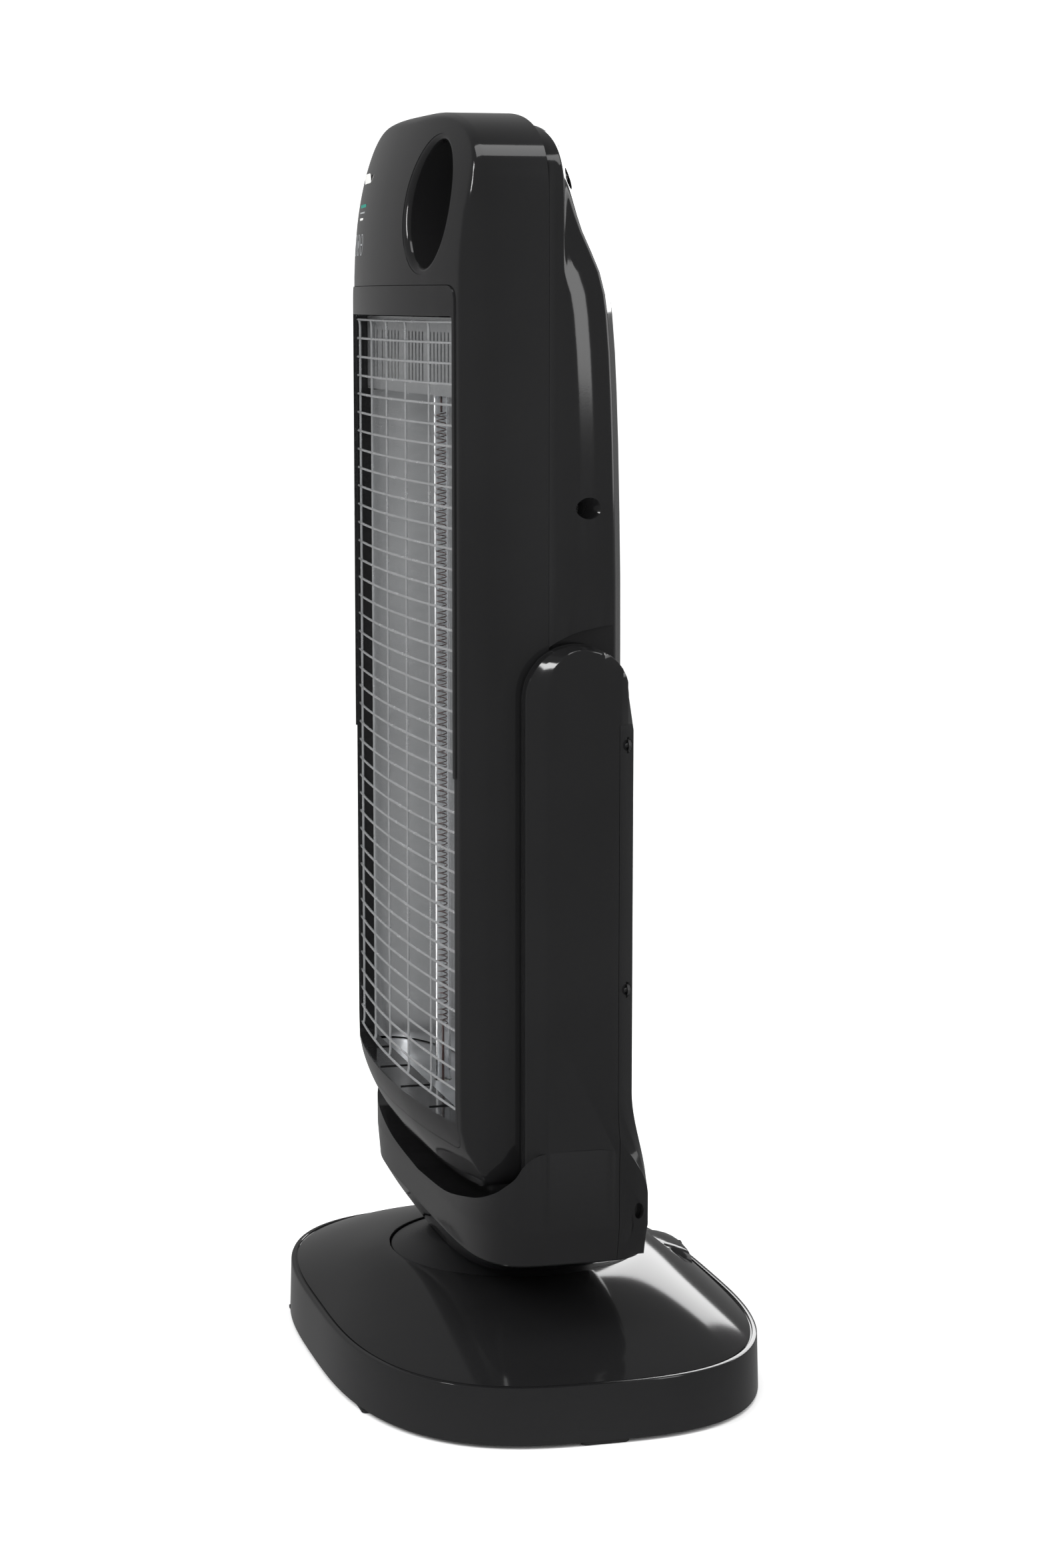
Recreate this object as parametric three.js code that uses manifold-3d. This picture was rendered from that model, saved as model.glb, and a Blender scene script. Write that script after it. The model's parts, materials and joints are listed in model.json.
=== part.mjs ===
// Radiant tower heater on an oscillating foot: a tall head with a wire front hangs between
// the two arms of a yoke, and the yoke turns on a low domed base.
// Millimetres, +Z up, front towards -Y, origin on the floor under the turntable axis.
import * as THREE from 'three';
import { mergeVertices } from 'three/addons/utils/BufferGeometryUtils.js';
import Module from 'manifold-3d';

const wasm = await Module();
wasm.setup();

// ---------------------------------------------------------------- driving dimensions
const GAP = 0.3;
const WALL = 3;

const BASE = {
  halfX: 210, halfY: 138, power: 2.9, segments: 40,
  footTop: 2.1, rimBottom: 2.4, rimTop: 38, draft: 1.2, lip: 3.6,
  domeRise: 32, domePower: 1.52, plateTop: 5.4,
};
const TURNTABLE = {
  radius: 83.3, wellFloor: 62, discTop: 77.7, discRim: 69, crownRadius: 58, boreRadius: 13.3,
};
const SWIVEL_GEAR = { teeth: 48, bottom: 53, top: 58, sectorTeeth: 17, hubRadius: 22 };
const PINION_TEETH = 12;
const GEAR = { module: 1.5, addendum: 1.3, dedendum: 1.9, thickness: 1.95, flank: 0.364 };
const GEAR_CENTRES = GEAR.module * (SWIVEL_GEAR.teeth + PINION_TEETH) / 2 + 0.2;
const TIP_SWITCH = { x: -110, y: 10, plungerRadius: 4 };

const PIVOT = { y: -5, z: 449, boltRadius: 4 };
const YOKE = {
  armInner: 152.5, armOuter: 170, armFront: -38, armRear: 31, armRadius: 33,
  blockY: -8, blockHalfY: 58.5, blockPower: 5, floorTop: 82, roomTop: 119,
  splitY: 20, coverTop: 433,
};
const YOKE_SCREW_HEIGHTS = [270, 420.5];

const HEAD = {
  half: 150, bottom: 141, top: 801, power: 3.1, bottomPower: 6,
  topSpring: 736, bottomSpring: 183, bandFront: -58, seam: -20,
  front: -87, bowRadius: 750,
};
const LEAN = {
  topStart: 690, topRate: 0.000306, topPower: 2.35, bottomStart: 188, bottomRate: 0.02, bottomPower: 1.8,
};
const REAR = { half: 154, top: 794.5, pocketX: 148, pocketTop: 492.5 };
const VENTS = { rows: 8, bottom: 520, pitch: 13, height: 5, half: 70 };
const WINDOW = { half: 137, bottom: 169, top: 695.5, radius: 11 };
const OPENING = { half: 134, bottom: 186, top: 677 };
const HANDLE = { x: 81, z: 744, halfX: 36.5, halfZ: 38, wall: 2.5 };
// Screws through the shoulders of the rear shell: height, seat of the head, inner end of the boss.
const HEAD_SCREWS = [
  { z: 563, seatX: 146, seatY: -4, bossX: 132 },
  { z: 758, seatX: 136.4, seatY: -8.3, bossX: 124 },
];
const HEAD_SCREW_LEAN = 40 * Math.PI / 180;

const GRILLE = { rows: 40, pitch: 12.3, topZ: 673.5, wire: 0.8, columns: [26, 78, 130], half: 133.4, y: -80 };
const TUBE = { y: -49, radius: 5, bore: 4, bottom: 172.3, top: 637.7 };
const BAFFLE = { y: -66, bottom: 628, top: 676, slotBottom: 635, slotTop: 667, slotPitch: 9.1, slotWidth: 3 };

// ---------------------------------------------------------------- colours and finishes
const FINISH = {
  glossBlack: { color: 0x1c1c1e, roughness: 0.22, metalness: 0.0 },
  satinBlack: { color: 0x17171a, roughness: 0.5, metalness: 0.0 },
  rubber: { color: 0x101010, roughness: 0.9, metalness: 0.0 },
  chrome: { color: 0xd8dadc, roughness: 0.15, metalness: 1.0 },
  steel: { color: 0x9a9c9e, roughness: 0.4, metalness: 0.9 },
  aluminium: { color: 0xd2d4d6, roughness: 0.25, metalness: 1.0 },
  brass: { color: 0xb59a54, roughness: 0.35, metalness: 0.9 },
  nylon: { color: 0xe6e2d6, roughness: 0.6, metalness: 0.0 },
  ceramic: { color: 0xece8de, roughness: 0.7, metalness: 0.0 },
  quartz: { color: 0xe8eef0, roughness: 0.05, metalness: 0.0 },
  filament: { color: 0x3a2620, roughness: 0.8, metalness: 0.1 },
  board: { color: 0x1f5a36, roughness: 0.6, metalness: 0.0 },
};

// ---------------------------------------------------------------- solids
function solidOf(geometry) {
  const bare = geometry.clone();
  bare.deleteAttribute('normal');
  bare.deleteAttribute('uv');
  const merged = mergeVertices(bare, 1e-4);
  return new wasm.Manifold(new wasm.Mesh({
    numProp: 3,
    vertProperties: Float32Array.from(merged.attributes.position.array),
    triVerts: Uint32Array.from(merged.index.array),
  }));
}

function geometryOf(solid) {
  const mesh = solid.getMesh();
  const geometry = new THREE.BufferGeometry();
  geometry.setAttribute('position', new THREE.BufferAttribute(mesh.vertProperties, 3));
  geometry.setIndex(new THREE.BufferAttribute(mesh.triVerts, 1));
  return geometry;
}

function union(...solids) {
  return solids.reduce((sum, next) => sum.add(next));
}

function cut(body, ...tools) {
  return tools.reduce((rest, tool) => rest.subtract(tool), body);
}

// The main body, without the hair-thin slivers that a grazing cut can leave beside it.
function largest(solid) {
  return solid.decompose().sort((a, b) => b.volume() - a.volume())[0];
}

// A closed body through rings of points, all with the same count. The first and last rings
// are closed by flat faces, or joined to each other when `looped`.
function loft(rings, looped = false) {
  const count = rings[0].length;
  const positions = rings.flat(2);
  const index = [];
  const last = looped ? rings.length : rings.length - 1;
  for (let r = 0; r < last; r += 1) {
    const next = (r + 1) % rings.length;
    for (let i = 0; i < count; i += 1) {
      const j = (i + 1) % count;
      index.push(r * count + i, r * count + j, next * count + j);
      index.push(r * count + i, next * count + j, next * count + i);
    }
  }
  if (!looped) {
    index.push(...capFaces(rings[0], 0, true));
    index.push(...capFaces(rings[rings.length - 1], (rings.length - 1) * count, false));
  }
  const geometry = new THREE.BufferGeometry();
  geometry.setAttribute('position', new THREE.Float32BufferAttribute(positions, 3));
  geometry.setIndex(index);
  if (signedVolume(positions, index) < 0) {
    for (let t = 0; t < index.length; t += 3) {
      [index[t], index[t + 1]] = [index[t + 1], index[t]];
    }
    geometry.setIndex(index);
  }
  return geometry;
}

// Flat face over one ring: the two axes along which the ring spreads most give its plane.
function capFaces(ring, offset, reversed) {
  const spread = [0, 1, 2].map((k) => {
    const values = ring.map((point) => point[k]);
    return Math.max(...values) - Math.min(...values);
  });
  const flat = spread.indexOf(Math.min(...spread));
  const [u, v] = [(flat + 1) % 3, (flat + 2) % 3];
  const contour = ring.map((point) => new THREE.Vector2(point[u], point[v]));
  const clockwise = THREE.ShapeUtils.isClockWise(contour);
  const order = ring.map((_, i) => (clockwise ? ring.length - 1 - i : i));
  const faces = THREE.ShapeUtils.triangulateShape(order.map((i) => contour[i]), []);
  const ccw = faces.flatMap((face) => face.map((i) => offset + order[i]));
  return reversed === clockwise ? ccw : ccw.reverse();
}

function signedVolume(positions, index) {
  let sum = 0;
  for (let t = 0; t < index.length; t += 3) {
    const [a, b, c] = [index[t] * 3, index[t + 1] * 3, index[t + 2] * 3];
    sum += positions[a] * (positions[b + 1] * positions[c + 2] - positions[b + 2] * positions[c + 1])
      + positions[a + 1] * (positions[b + 2] * positions[c] - positions[b] * positions[c + 2])
      + positions[a + 2] * (positions[b] * positions[c + 1] - positions[b + 1] * positions[c]);
  }
  return sum;
}

function box(x0, x1, y0, y1, z0, z1) {
  const geometry = new THREE.BoxGeometry(x1 - x0, y1 - y0, z1 - z0);
  return geometry.translate((x0 + x1) / 2, (y0 + y1) / 2, (z0 + z1) / 2);
}

// Cylinder between two heights along an axis, through the point (u, v) of the other two.
function rod(axis, u, v, from, to, radius, sides = 12, endRadius = radius) {
  const geometry = new THREE.CylinderGeometry(endRadius, radius, to - from, sides);
  const middle = (from + to) / 2;
  if (axis === 'z') {
    return geometry.rotateX(Math.PI / 2).translate(u, v, middle);
  }
  if (axis === 'x') {
    return geometry.rotateZ(-Math.PI / 2).translate(middle, u, v);
  }
  return geometry.translate(u, middle, v);
}

// Turned body about a vertical axis, from [radius, z] points that close on themselves.
function turned(profile, segments) {
  const points = profile.map(([r, z]) => new THREE.Vector2(r, z));
  return new THREE.LatheGeometry([...points, points[0]], segments).rotateX(Math.PI / 2);
}

// Turned body whose axis lies along X through (y, z), from [radius, x] points.
function turnedAlongX(profile, segments, y, z) {
  const points = profile.map(([r, x]) => new THREE.Vector2(r, x));
  const geometry = new THREE.LatheGeometry([...points, points[0]], segments);
  return geometry.rotateZ(-Math.PI / 2).translate(0, y, z);
}

// A flat outline of [x, z] points carried along Y, and one of [y, z] points carried along X.
function alongY(outline, y0, y1) {
  return loft([y0, y1].map((y) => outline.map(([x, z]) => [x, y, z])));
}

function alongX(outline, x0, x1) {
  return loft([x0, x1].map((x) => outline.map(([y, z]) => [x, y, z])));
}

function alongZ(outline, z0, z1) {
  return loft([z0, z1].map((z) => outline.map(([x, y]) => [x, y, z])));
}

function superellipse(halfX, halfY, power, segments, centreY = 0) {
  const points = [];
  for (let i = 0; i < segments; i += 1) {
    const angle = (i / segments) * 2 * Math.PI;
    const [c, s] = [Math.cos(angle), Math.sin(angle)];
    points.push([
      halfX * Math.sign(c) * Math.abs(c) ** (2 / power),
      centreY + halfY * Math.sign(s) * Math.abs(s) ** (2 / power),
    ]);
  }
  return points;
}

function roundedRectangle(half, bottom, top, radius, steps = 4) {
  const points = [];
  const corners = [[half, top, 0], [-half, top, 1], [-half, bottom, 2], [half, bottom, 3]];
  for (const [x, z, quarter] of corners) {
    const cx = x - Math.sign(x) * radius;
    const cz = z === top ? top - radius : bottom + radius;
    for (let i = 0; i <= steps; i += 1) {
      const angle = (quarter + i / steps) * Math.PI / 2;
      points.push([cx + radius * Math.cos(angle), cz + radius * Math.sin(angle)]);
    }
  }
  return points;
}

function ellipse(x, z, halfX, halfZ, segments) {
  return superellipse(halfX, halfZ, 2, segments).map(([dx, dz]) => [x + dx, z + dz]);
}

function mirrored(outline) {
  return [...outline, ...outline.filter(([x]) => x > 1e-6).map(([x, ...rest]) => [-x, ...rest]).reverse()];
}

// ---------------------------------------------------------------- the scene graph
const heater = new THREE.Group();

function add(name, shape, finish) {
  const geometry = shape.isBufferGeometry ? shape : geometryOf(shape);
  const mesh = new THREE.Mesh(geometry, new THREE.MeshStandardMaterial({ ...finish, flatShading: true }));
  mesh.name = name;
  heater.add(mesh);
  return mesh;
}

// ---------------------------------------------------------------- base
// The base plan runs from the turntable circle (blend 0) out to the rim (blend 1).
function baseRing(blend, inset, z) {
  return superellipse(BASE.halfX, BASE.halfY, BASE.power, BASE.segments).map(([x, y]) => {
    const reach = Math.hypot(x, y);
    const radius = TURNTABLE.radius + blend * (reach - TURNTABLE.radius) - inset;
    return [x / reach * radius, y / reach * radius, z];
  });
}

function domeHeight(blend) {
  return BASE.rimTop + BASE.domeRise * (1 - blend ** BASE.domePower);
}

function makeBaseCover() {
  const domeBlends = [0.9, 0.75, 0.55, 0.35, 0.15, 0];
  const outer = [
    baseRing(1, 0, BASE.rimBottom),
    baseRing(1, BASE.draft, BASE.rimTop),
    baseRing(1, BASE.draft + BASE.lip, BASE.rimTop),
    ...domeBlends.map((t) => baseRing(t, 0, domeHeight(t))),
    baseRing(0, 0, TURNTABLE.wellFloor),
    baseRing(0, TURNTABLE.radius - 17, TURNTABLE.wellFloor),
  ];
  const inner = [
    baseRing(0, TURNTABLE.radius - 17, TURNTABLE.wellFloor - WALL),
    baseRing(0, -WALL, TURNTABLE.wellFloor - WALL),
    ...[0, 0.35, 0.75].map((t) => baseRing(t, t > 0 ? 0 : -WALL, domeHeight(t) - WALL - 1)),
    baseRing(1, WALL + BASE.draft + 1, BASE.rimTop - 2),
    baseRing(1, WALL + 0.5, BASE.rimBottom),
  ];
  const shell = solidOf(loft([...outer, ...inner], true));
  const bosses = baseScrewPlaces().map(([x, y]) => solidOf(rod('z', x, y, BASE.plateTop + GAP, 46.5, 5, 8)));
  const holes = baseScrewPlaces().map(([x, y]) => solidOf(rod('z', x, y, 0, 20, 1.9, 8)));
  const cordHole = solidOf(rod('y', 0, 54, 60, 130, 7.3, 12));
  const well = solidOf(rod('z', 0, 0, TURNTABLE.wellFloor, TURNTABLE.discTop, TURNTABLE.radius, 48));
  return cut(union(shell, makeCordHood(), ...bosses), ...holes, cordHole, well);
}

// Raised hood over the cord outlet at the back of the dome.
function makeCordHood() {
  const stations = [[84, 12, 66], [92, 24, 67], [104, 30, 65], [114, 30, 61]];
  return solidOf(loft(stations.map(([y, half, top]) => {
    const arch = [[half, 42], [half, top - 8], [half * 0.75, top - 2.5], [half * 0.35, top], [0, top]];
    return mirrored(arch).map(([x, z]) => [x, y, z]);
  })));
}

function baseScrewPlaces() {
  return [[160, 68], [-160, 68], [-160, -68], [160, -68]];
}

function makeBasePlate() {
  const outline = superellipse(BASE.halfX - 4.2, BASE.halfY - 4.2, BASE.power, BASE.segments);
  const plate = solidOf(alongZ(outline, BASE.rimBottom, BASE.plateTop));
  const plungerHole = solidOf(rod('z', TIP_SWITCH.x, TIP_SWITCH.y, 0, 10, TIP_SWITCH.plungerRadius + 1, 12));
  const screwHoles = baseScrewPlaces().map(([x, y]) => solidOf(rod('z', x, y, 0, 10, 4.2, 8)));
  return cut(plate, plungerHole, ...screwHoles);
}

function makeBallast() {
  const outline = superellipse(135, 88, 3, 24);
  const plate = solidOf(alongZ(outline, BASE.plateTop + GAP, 12));
  const hole = solidOf(rod('z', TIP_SWITCH.x, TIP_SWITCH.y, 0, 20, TIP_SWITCH.plungerRadius + 2, 12));
  return cut(plate, hole);
}

function addFeet() {
  const places = [[101, -125.4, 0], [-101, -125.4, 0], [101, 125.4, 0], [-101, 125.4, 0],
    [204, 0, 1], [-204, 0, 1]];
  places.forEach(([x, y, turned90], i) => {
    const [dx, dy] = turned90 ? [5, 15] : [15, 5];
    add(`foot_${i + 1}`, box(x - dx, x + dx, y - dy, y + dy, 0, BASE.footTop), FINISH.rubber);
  });
}

function addBaseScrews() {
  baseScrewPlaces().forEach(([x, y], i) => {
    const head = solidOf(rod('z', x, y, BASE.rimBottom, BASE.plateTop, 3.6, 8));
    const shank = solidOf(rod('z', x, y, BASE.plateTop - 1, 18, 1.5, 8));
    add(`base_screw_${i + 1}`, union(head, shank), FINISH.steel);
  });
}

// Toothed outline: every tooth has straight flanks between its root and its tip.
function toothPoints(pitchRadius, centre, slope = GEAR.flank) {
  const root = pitchRadius - GEAR.dedendum;
  const tip = pitchRadius + GEAR.addendum;
  const rootHalf = (GEAR.thickness / 2 + GEAR.dedendum * slope) / root;
  const tipHalf = (GEAR.thickness / 2 - GEAR.addendum * slope) / tip;
  return [[root, -rootHalf], [tip, -tipHalf], [tip, tipHalf], [root, rootHalf]].map(([r, a]) => (
    [r * Math.cos(centre + a), r * Math.sin(centre + a)]
  ));
}

// Toothed sector on the spindle: teeth face the motor at the back, a plain hub elsewhere.
function makeSwivelGear() {
  const pitchRadius = GEAR.module * SWIVEL_GEAR.teeth / 2;
  const step = 2 * Math.PI / SWIVEL_GEAR.teeth;
  const reach = (SWIVEL_GEAR.sectorTeeth - 1) / 2;
  const outline = [];
  for (let i = -reach; i <= reach; i += 1) {
    outline.push(...toothPoints(pitchRadius, Math.PI / 2 + i * step));
  }
  const edge = (reach + 0.7) * step;
  const hubSteps = 10;
  for (let i = 0; i <= hubSteps; i += 1) {
    const angle = Math.PI / 2 + edge + (i / hubSteps) * (2 * Math.PI - 2 * edge);
    outline.push([SWIVEL_GEAR.hubRadius * Math.cos(angle), SWIVEL_GEAR.hubRadius * Math.sin(angle)]);
  }
  const blank = solidOf(alongZ(outline, SWIVEL_GEAR.bottom, SWIVEL_GEAR.top));
  return cut(blank, solidOf(rod('z', 0, 0, 40, 70, TURNTABLE.boreRadius, 24)));
}

function makePinion() {
  const pitchRadius = GEAR.module * PINION_TEETH / 2;
  const outline = [];
  for (let i = 0; i < PINION_TEETH; i += 1) {
    const angle = -Math.PI / 2 + (i + 0.5) * 2 * Math.PI / PINION_TEETH;
    outline.push(...toothPoints(pitchRadius, angle).map(([x, y]) => [x, y + GEAR_CENTRES]));
  }
  const teeth = solidOf(alongZ(outline, SWIVEL_GEAR.bottom, SWIVEL_GEAR.top));
  return union(teeth, solidOf(rod('z', 0, GEAR_CENTRES, 48.7, SWIVEL_GEAR.bottom + 1, 3, 12)));
}

function addSwivelDrive() {
  const y = GEAR_CENTRES;
  add('turntable_bearing', turned([[40, 62.3], [66, 62.3], [66, 64.3], [40, 64.3]], 32), FINISH.nylon);
  add('motor_pinion', makePinion(), FINISH.nylon);
  const can = union(solidOf(rod('z', 0, y, 30.3, 46.5, 24, 24)), solidOf(rod('z', 0, y, 46, 48.4, 8, 12)));
  add('swivel_motor', can, FINISH.steel);
  const bridge = cut(
    solidOf(box(-34, 34, y - 20, y + 20, 12.3, 30)),
    solidOf(box(-31, 31, y - 30, y + 30, 10, 28)),
  );
  add('motor_bracket', bridge, FINISH.steel);
}

function addTipSwitch() {
  const { x, y, plungerRadius } = TIP_SWITCH;
  const block = solidOf(box(x - 13, x + 13, y - 9, y + 9, 12.3, 34));
  const bore = solidOf(rod('z', x, y, 0, 27, plungerRadius + 0.5, 12));
  add('tip_switch_body', cut(block, bore), FINISH.satinBlack);
  add('tip_switch_plunger', rod('z', x, y, 0.2, 22, plungerRadius, 12), FINISH.nylon);
}

// ---------------------------------------------------------------- turntable and spindle
function addTurntable() {
  const { radius, discTop, discRim, crownRadius, boreRadius, wellFloor } = TURNTABLE;
  const rim = radius - 0.5;
  const profile = [[boreRadius, wellFloor + 2.6], [rim, wellFloor + 2.6], [rim, discRim],
    [crownRadius, discTop], [boreRadius, discTop]];
  add('turntable_disc', turned(profile, 36), FINISH.satinBlack);
  const tube = [[9, 44], [13, 44], [13, YOKE.floorTop + GAP], [18, YOKE.floorTop + GAP],
    [18, YOKE.floorTop + 3.3], [9, YOKE.floorTop + 3.3]];
  add('swivel_spindle', turned(tube, 24), FINISH.steel);
  const nut = cut(solidOf(rod('z', 0, 0, 46, 52.6, 20, 6)), solidOf(rod('z', 0, 0, 40, 60, boreRadius, 24)));
  add('spindle_nut', nut, FINISH.steel);
  add('swivel_gear', makeSwivelGear(), FINISH.nylon);
}

// ---------------------------------------------------------------- yoke
// Top edge of the trough between the arms, as [x, z] from the middle to the outer face.
const TROUGH = [[0, 123], [70, 127], [120, 135.5], [140, 140], [155, 146], [162, 151.5], [166, 157],
  [168, 164.5], [170, 173]];

// Bowl that carries the arms: height, half length, half depth and squareness, from its foot up.
const BOWL = [[78, 100, 45, 3], [92, 140, 54, 4], [102, 164, 57.5, 5],
  [123, YOKE.armOuter, YOKE.blockHalfY, YOKE.blockPower]];

function bowl(levels, inset = 0) {
  return solidOf(loft(levels.map(([z, halfX, halfY, power]) => (
    superellipse(halfX - inset, halfY - inset, power, 40, YOKE.blockY).map(([x, y]) => [x, y, z])
  ))));
}

function makeYokeEnvelope() {
  const hull = bowl([...BOWL, [200, YOKE.armOuter, YOKE.blockHalfY, YOKE.blockPower]]);
  const above = mirrored([...TROUGH, [180, 173], [180, 260], [0, 260]].reverse());
  const block = hull.subtract(solidOf(alongY(above, -120, 120)));
  return union(block, makeArm(1), makeArm(-1));
}

// One arm: the plan section of the arm carried up, kept inside its side outline.
function makeArm(side) {
  const { armInner, armOuter, armFront, armRear, armRadius } = YOKE;
  const section = [[armInner, armFront], [armOuter - 8, armFront], [armOuter, armFront + 11],
    [armOuter, 7], [armOuter - 5, 22], [armOuter - 12, armRear], [armInner, armRear]];
  const post = solidOf(alongZ(section.map(([x, y]) => [side * x, y]), 130, 500));
  const outline = [];
  const steps = 12;
  for (let i = 0; i <= steps; i += 1) {
    const angle = (i / steps) * Math.PI;
    outline.push([PIVOT.y + armRadius * Math.cos(angle), PIVOT.z + armRadius * Math.sin(angle)]);
  }
  outline.push([armFront, 130], [armFront + 4, 123], [44, 123], [44, 150], [37, 195], [armRear, 235],
    [armRear, PIVOT.z - 20]);
  const flare = solidOf(alongZ([[armInner, 0], [armOuter, 0], [armOuter, 36], [armInner, 44]]
    .map(([x, y]) => [side * x, y]), 123, 235));
  const profile = solidOf(alongX(outline, side > 0 ? 140 : -180, side > 0 ? 180 : -140));
  return union(post, flare).intersect(profile);
}

function yokeScrewPlaces() {
  return YOKE_SCREW_HEIGHTS.flatMap((z) => [[162, z], [-162, z]]);
}

function addYoke() {
  const envelope = makeYokeEnvelope();
  const { splitY, coverTop, floorTop, armInner, armOuter } = YOKE;
  const behind = box(-200, 200, splitY + GAP / 2, 200, 0, coverTop);
  const behindWithGap = box(-200, 200, splitY - GAP / 2, 200, 0, coverTop + GAP);
  const innerX = armInner + WALL;
  const outerX = armOuter - 3.5;
  const armRoom = [1, -1].flatMap((side) => {
    const [x0, x1] = side > 0 ? [innerX, outerX] : [-outerX, -innerX];
    return [
      solidOf(box(x0, x1, -33, 60, 150, coverTop)),
      solidOf(box(x0, x1, -30, splitY, coverTop - 1, PIVOT.z + 18)),
    ];
  });
  const blockRoom = bowl([[floorTop, 98, 43, 3], [95, 138, 52, 4], [YOKE.roomTop, 162, 56, 5]], WALL);
  const bosses = yokeScrewPlaces().map(([x, z]) => (
    solidOf(box(x - 7, x + 7, -34, splitY - GAP / 2, z - 5, z + 5)).intersect(envelope)
  ));
  const screwHoles = yokeScrewPlaces().map(([x, z]) => solidOf(rod('y', x, z, 0, 60, 2, 8)));
  const pivotHole = solidOf(rod('x', PIVOT.y, PIVOT.z, -159, 159, PIVOT.boltRadius + 0.4, 16));
  const spindleHole = solidOf(rod('z', 0, 0, 60, 100, TURNTABLE.boreRadius, 24));
  const hollow = cut(envelope, solidOf(behindWithGap), ...armRoom, blockRoom);
  add('yoke_front_shell', cut(union(hollow, ...bosses), ...screwHoles, pivotHole, spindleHole),
    FINISH.glossBlack);

  const scoops = yokeScrewPlaces().map(([x, z]) => (
    solidOf(rod('y', x + Math.sign(x) * 2, z, 25.6, 60, 5.5, 12))
  ));
  const coverRoom = [
    solidOf(box(innerX, outerX - 3, 0, 25.2, 150, coverTop - WALL)),
    solidOf(box(-outerX + 3, -innerX, 0, 25.2, 150, coverTop - WALL)),
    blockRoom,
  ];
  const coverBosses = yokeScrewPlaces().map(([x, z]) => (
    solidOf(box(x - 7, x + 7, splitY + GAP / 2, 26, z - 5, z + 5)).intersect(envelope)
  ));
  const cover = cut(envelope.intersect(solidOf(behind)), ...coverRoom);
  add('yoke_rear_cover', cut(union(cover, ...coverBosses), ...screwHoles, ...scoops), FINISH.glossBlack);

  yokeScrewPlaces().forEach(([x, z], i) => {
    const head = solidOf(rod('y', x, z, 25.9, 28.2, 3.4, 8));
    add(`yoke_screw_${i + 1}`, union(head, solidOf(rod('y', x, z, 8, 26.5, 1.6, 8))), FINISH.steel);
  });
}

// ---------------------------------------------------------------- tilt pivots
function addPivots() {
  const r = PIVOT.boltRadius;
  for (const [side, tag] of [[1, 'right'], [-1, 'left']]) {
    const parts = {
      friction_disc: [[[r + 0.4, 148.4], [14, 148.4], [14, 152.1], [r + 0.4, 152.1]], 24, FINISH.nylon],
      pressure_spring: [[[r + 0.4, 155.9], [10, 155.9], [7, 159.5], [r + 0.4, 159.5]], 16, FINISH.steel],
      pivot_bolt: [[[0.01, 132], [r, 132], [r, 159.9], [8, 159.9], [8, 164.5], [0.01, 164.5]], 12,
        FINISH.steel],
    };
    for (const [name, [profile, segments, finish]] of Object.entries(parts)) {
      const sided = profile.map(([radius, x]) => [radius, side * x]);
      if (side < 0) {
        sided.reverse();
      }
      add(`${name}_${tag}`, solidOf(turnedAlongX(sided, segments, PIVOT.y, PIVOT.z)), finish);
    }
    const [x0, x1] = side > 0 ? [140, 144.6] : [-144.6, -140];
    const plate = solidOf(box(x0, x1, -32, 15, PIVOT.z - 32, PIVOT.z + 32));
    const bore = solidOf(rod('x', PIVOT.y, PIVOT.z, -200, 200, r + 0.3, 12));
    const [n0, n1] = side > 0 ? [134, 139.7] : [-139.7, -134];
    add(`pivot_nut_${tag}`, cut(solidOf(rod('x', PIVOT.y, PIVOT.z, n0, n1, 8, 6)), bore), FINISH.steel);
    add(`pivot_bracket_${tag}`, cut(plate, bore), FINISH.steel);
  }
}

// ---------------------------------------------------------------- head housing
// Outline of the head seen from the front, pulled in by `inset`, counter-clockwise.
function headOutline(inset, steps = 16) {
  const points = [];
  const halves = [
    [HEAD.topSpring, HEAD.top - HEAD.topSpring - inset, HEAD.power, 0],
    [HEAD.bottomSpring, HEAD.bottomSpring - HEAD.bottom - inset, HEAD.bottomPower, Math.PI],
  ];
  for (const [spring, height, power, start] of halves) {
    for (let i = 0; i <= steps; i += 1) {
      const angle = start + (i / steps) * Math.PI;
      const [c, s] = [Math.cos(angle), Math.sin(angle)];
      points.push([
        (HEAD.half - inset) * Math.sign(c) * Math.abs(c) ** (2 / power),
        spring + height * Math.sign(s) * Math.abs(s) ** (2 / power),
      ]);
    }
  }
  return points;
}

// Depth of the front surface: bowed across, leaning back near the top and the bottom.
function frontDepth(x, z) {
  const top = LEAN.topRate * Math.max(0, z - LEAN.topStart) ** LEAN.topPower;
  const bottom = LEAN.bottomRate * Math.max(0, LEAN.bottomStart - z) ** LEAN.bottomPower;
  return HEAD.front + x * x / (2 * HEAD.bowRadius) + top + bottom;
}

// Solid front half of the head: the outline with a rounded front edge, kept behind the
// bowed front surface. `wall` gives the cavity, `back` where the solid ends.
function frontSolid(wall, back) {
  const edge = [[0, back], [0, HEAD.bandFront], [1.5, -64], [4.5, -69], [14, -82], [14, -100]];
  const rounded = solidOf(loft(edge.map(([inset, y]) => (
    headOutline(inset + wall).map(([x, z]) => [x, y + (y < back ? wall : 0), z])
  ))));
  const across = [-160, -120, -80, -40, 0, 40, 80, 120, 160];
  const heights = [130, 150, 160, 172, LEAN.bottomStart, LEAN.topStart, 725, 750, 775, 810];
  const slab = solidOf(loft(heights.map((z) => [
    ...across.map((x) => [x, frontDepth(x, z) + wall, z]), [160, back, z], [-160, back, z],
  ])));
  return rounded.intersect(slab);
}

function handleTunnel(grow) {
  const outline = ellipse(HANDLE.x, HANDLE.z, HANDLE.halfX + grow, HANDLE.halfZ + grow, 24);
  return solidOf(alongY(outline, -110, 80));
}

function headScrewPlaces() {
  return HEAD_SCREWS.flatMap((screw) => [[1, screw], [-1, screw]]);
}

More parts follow.
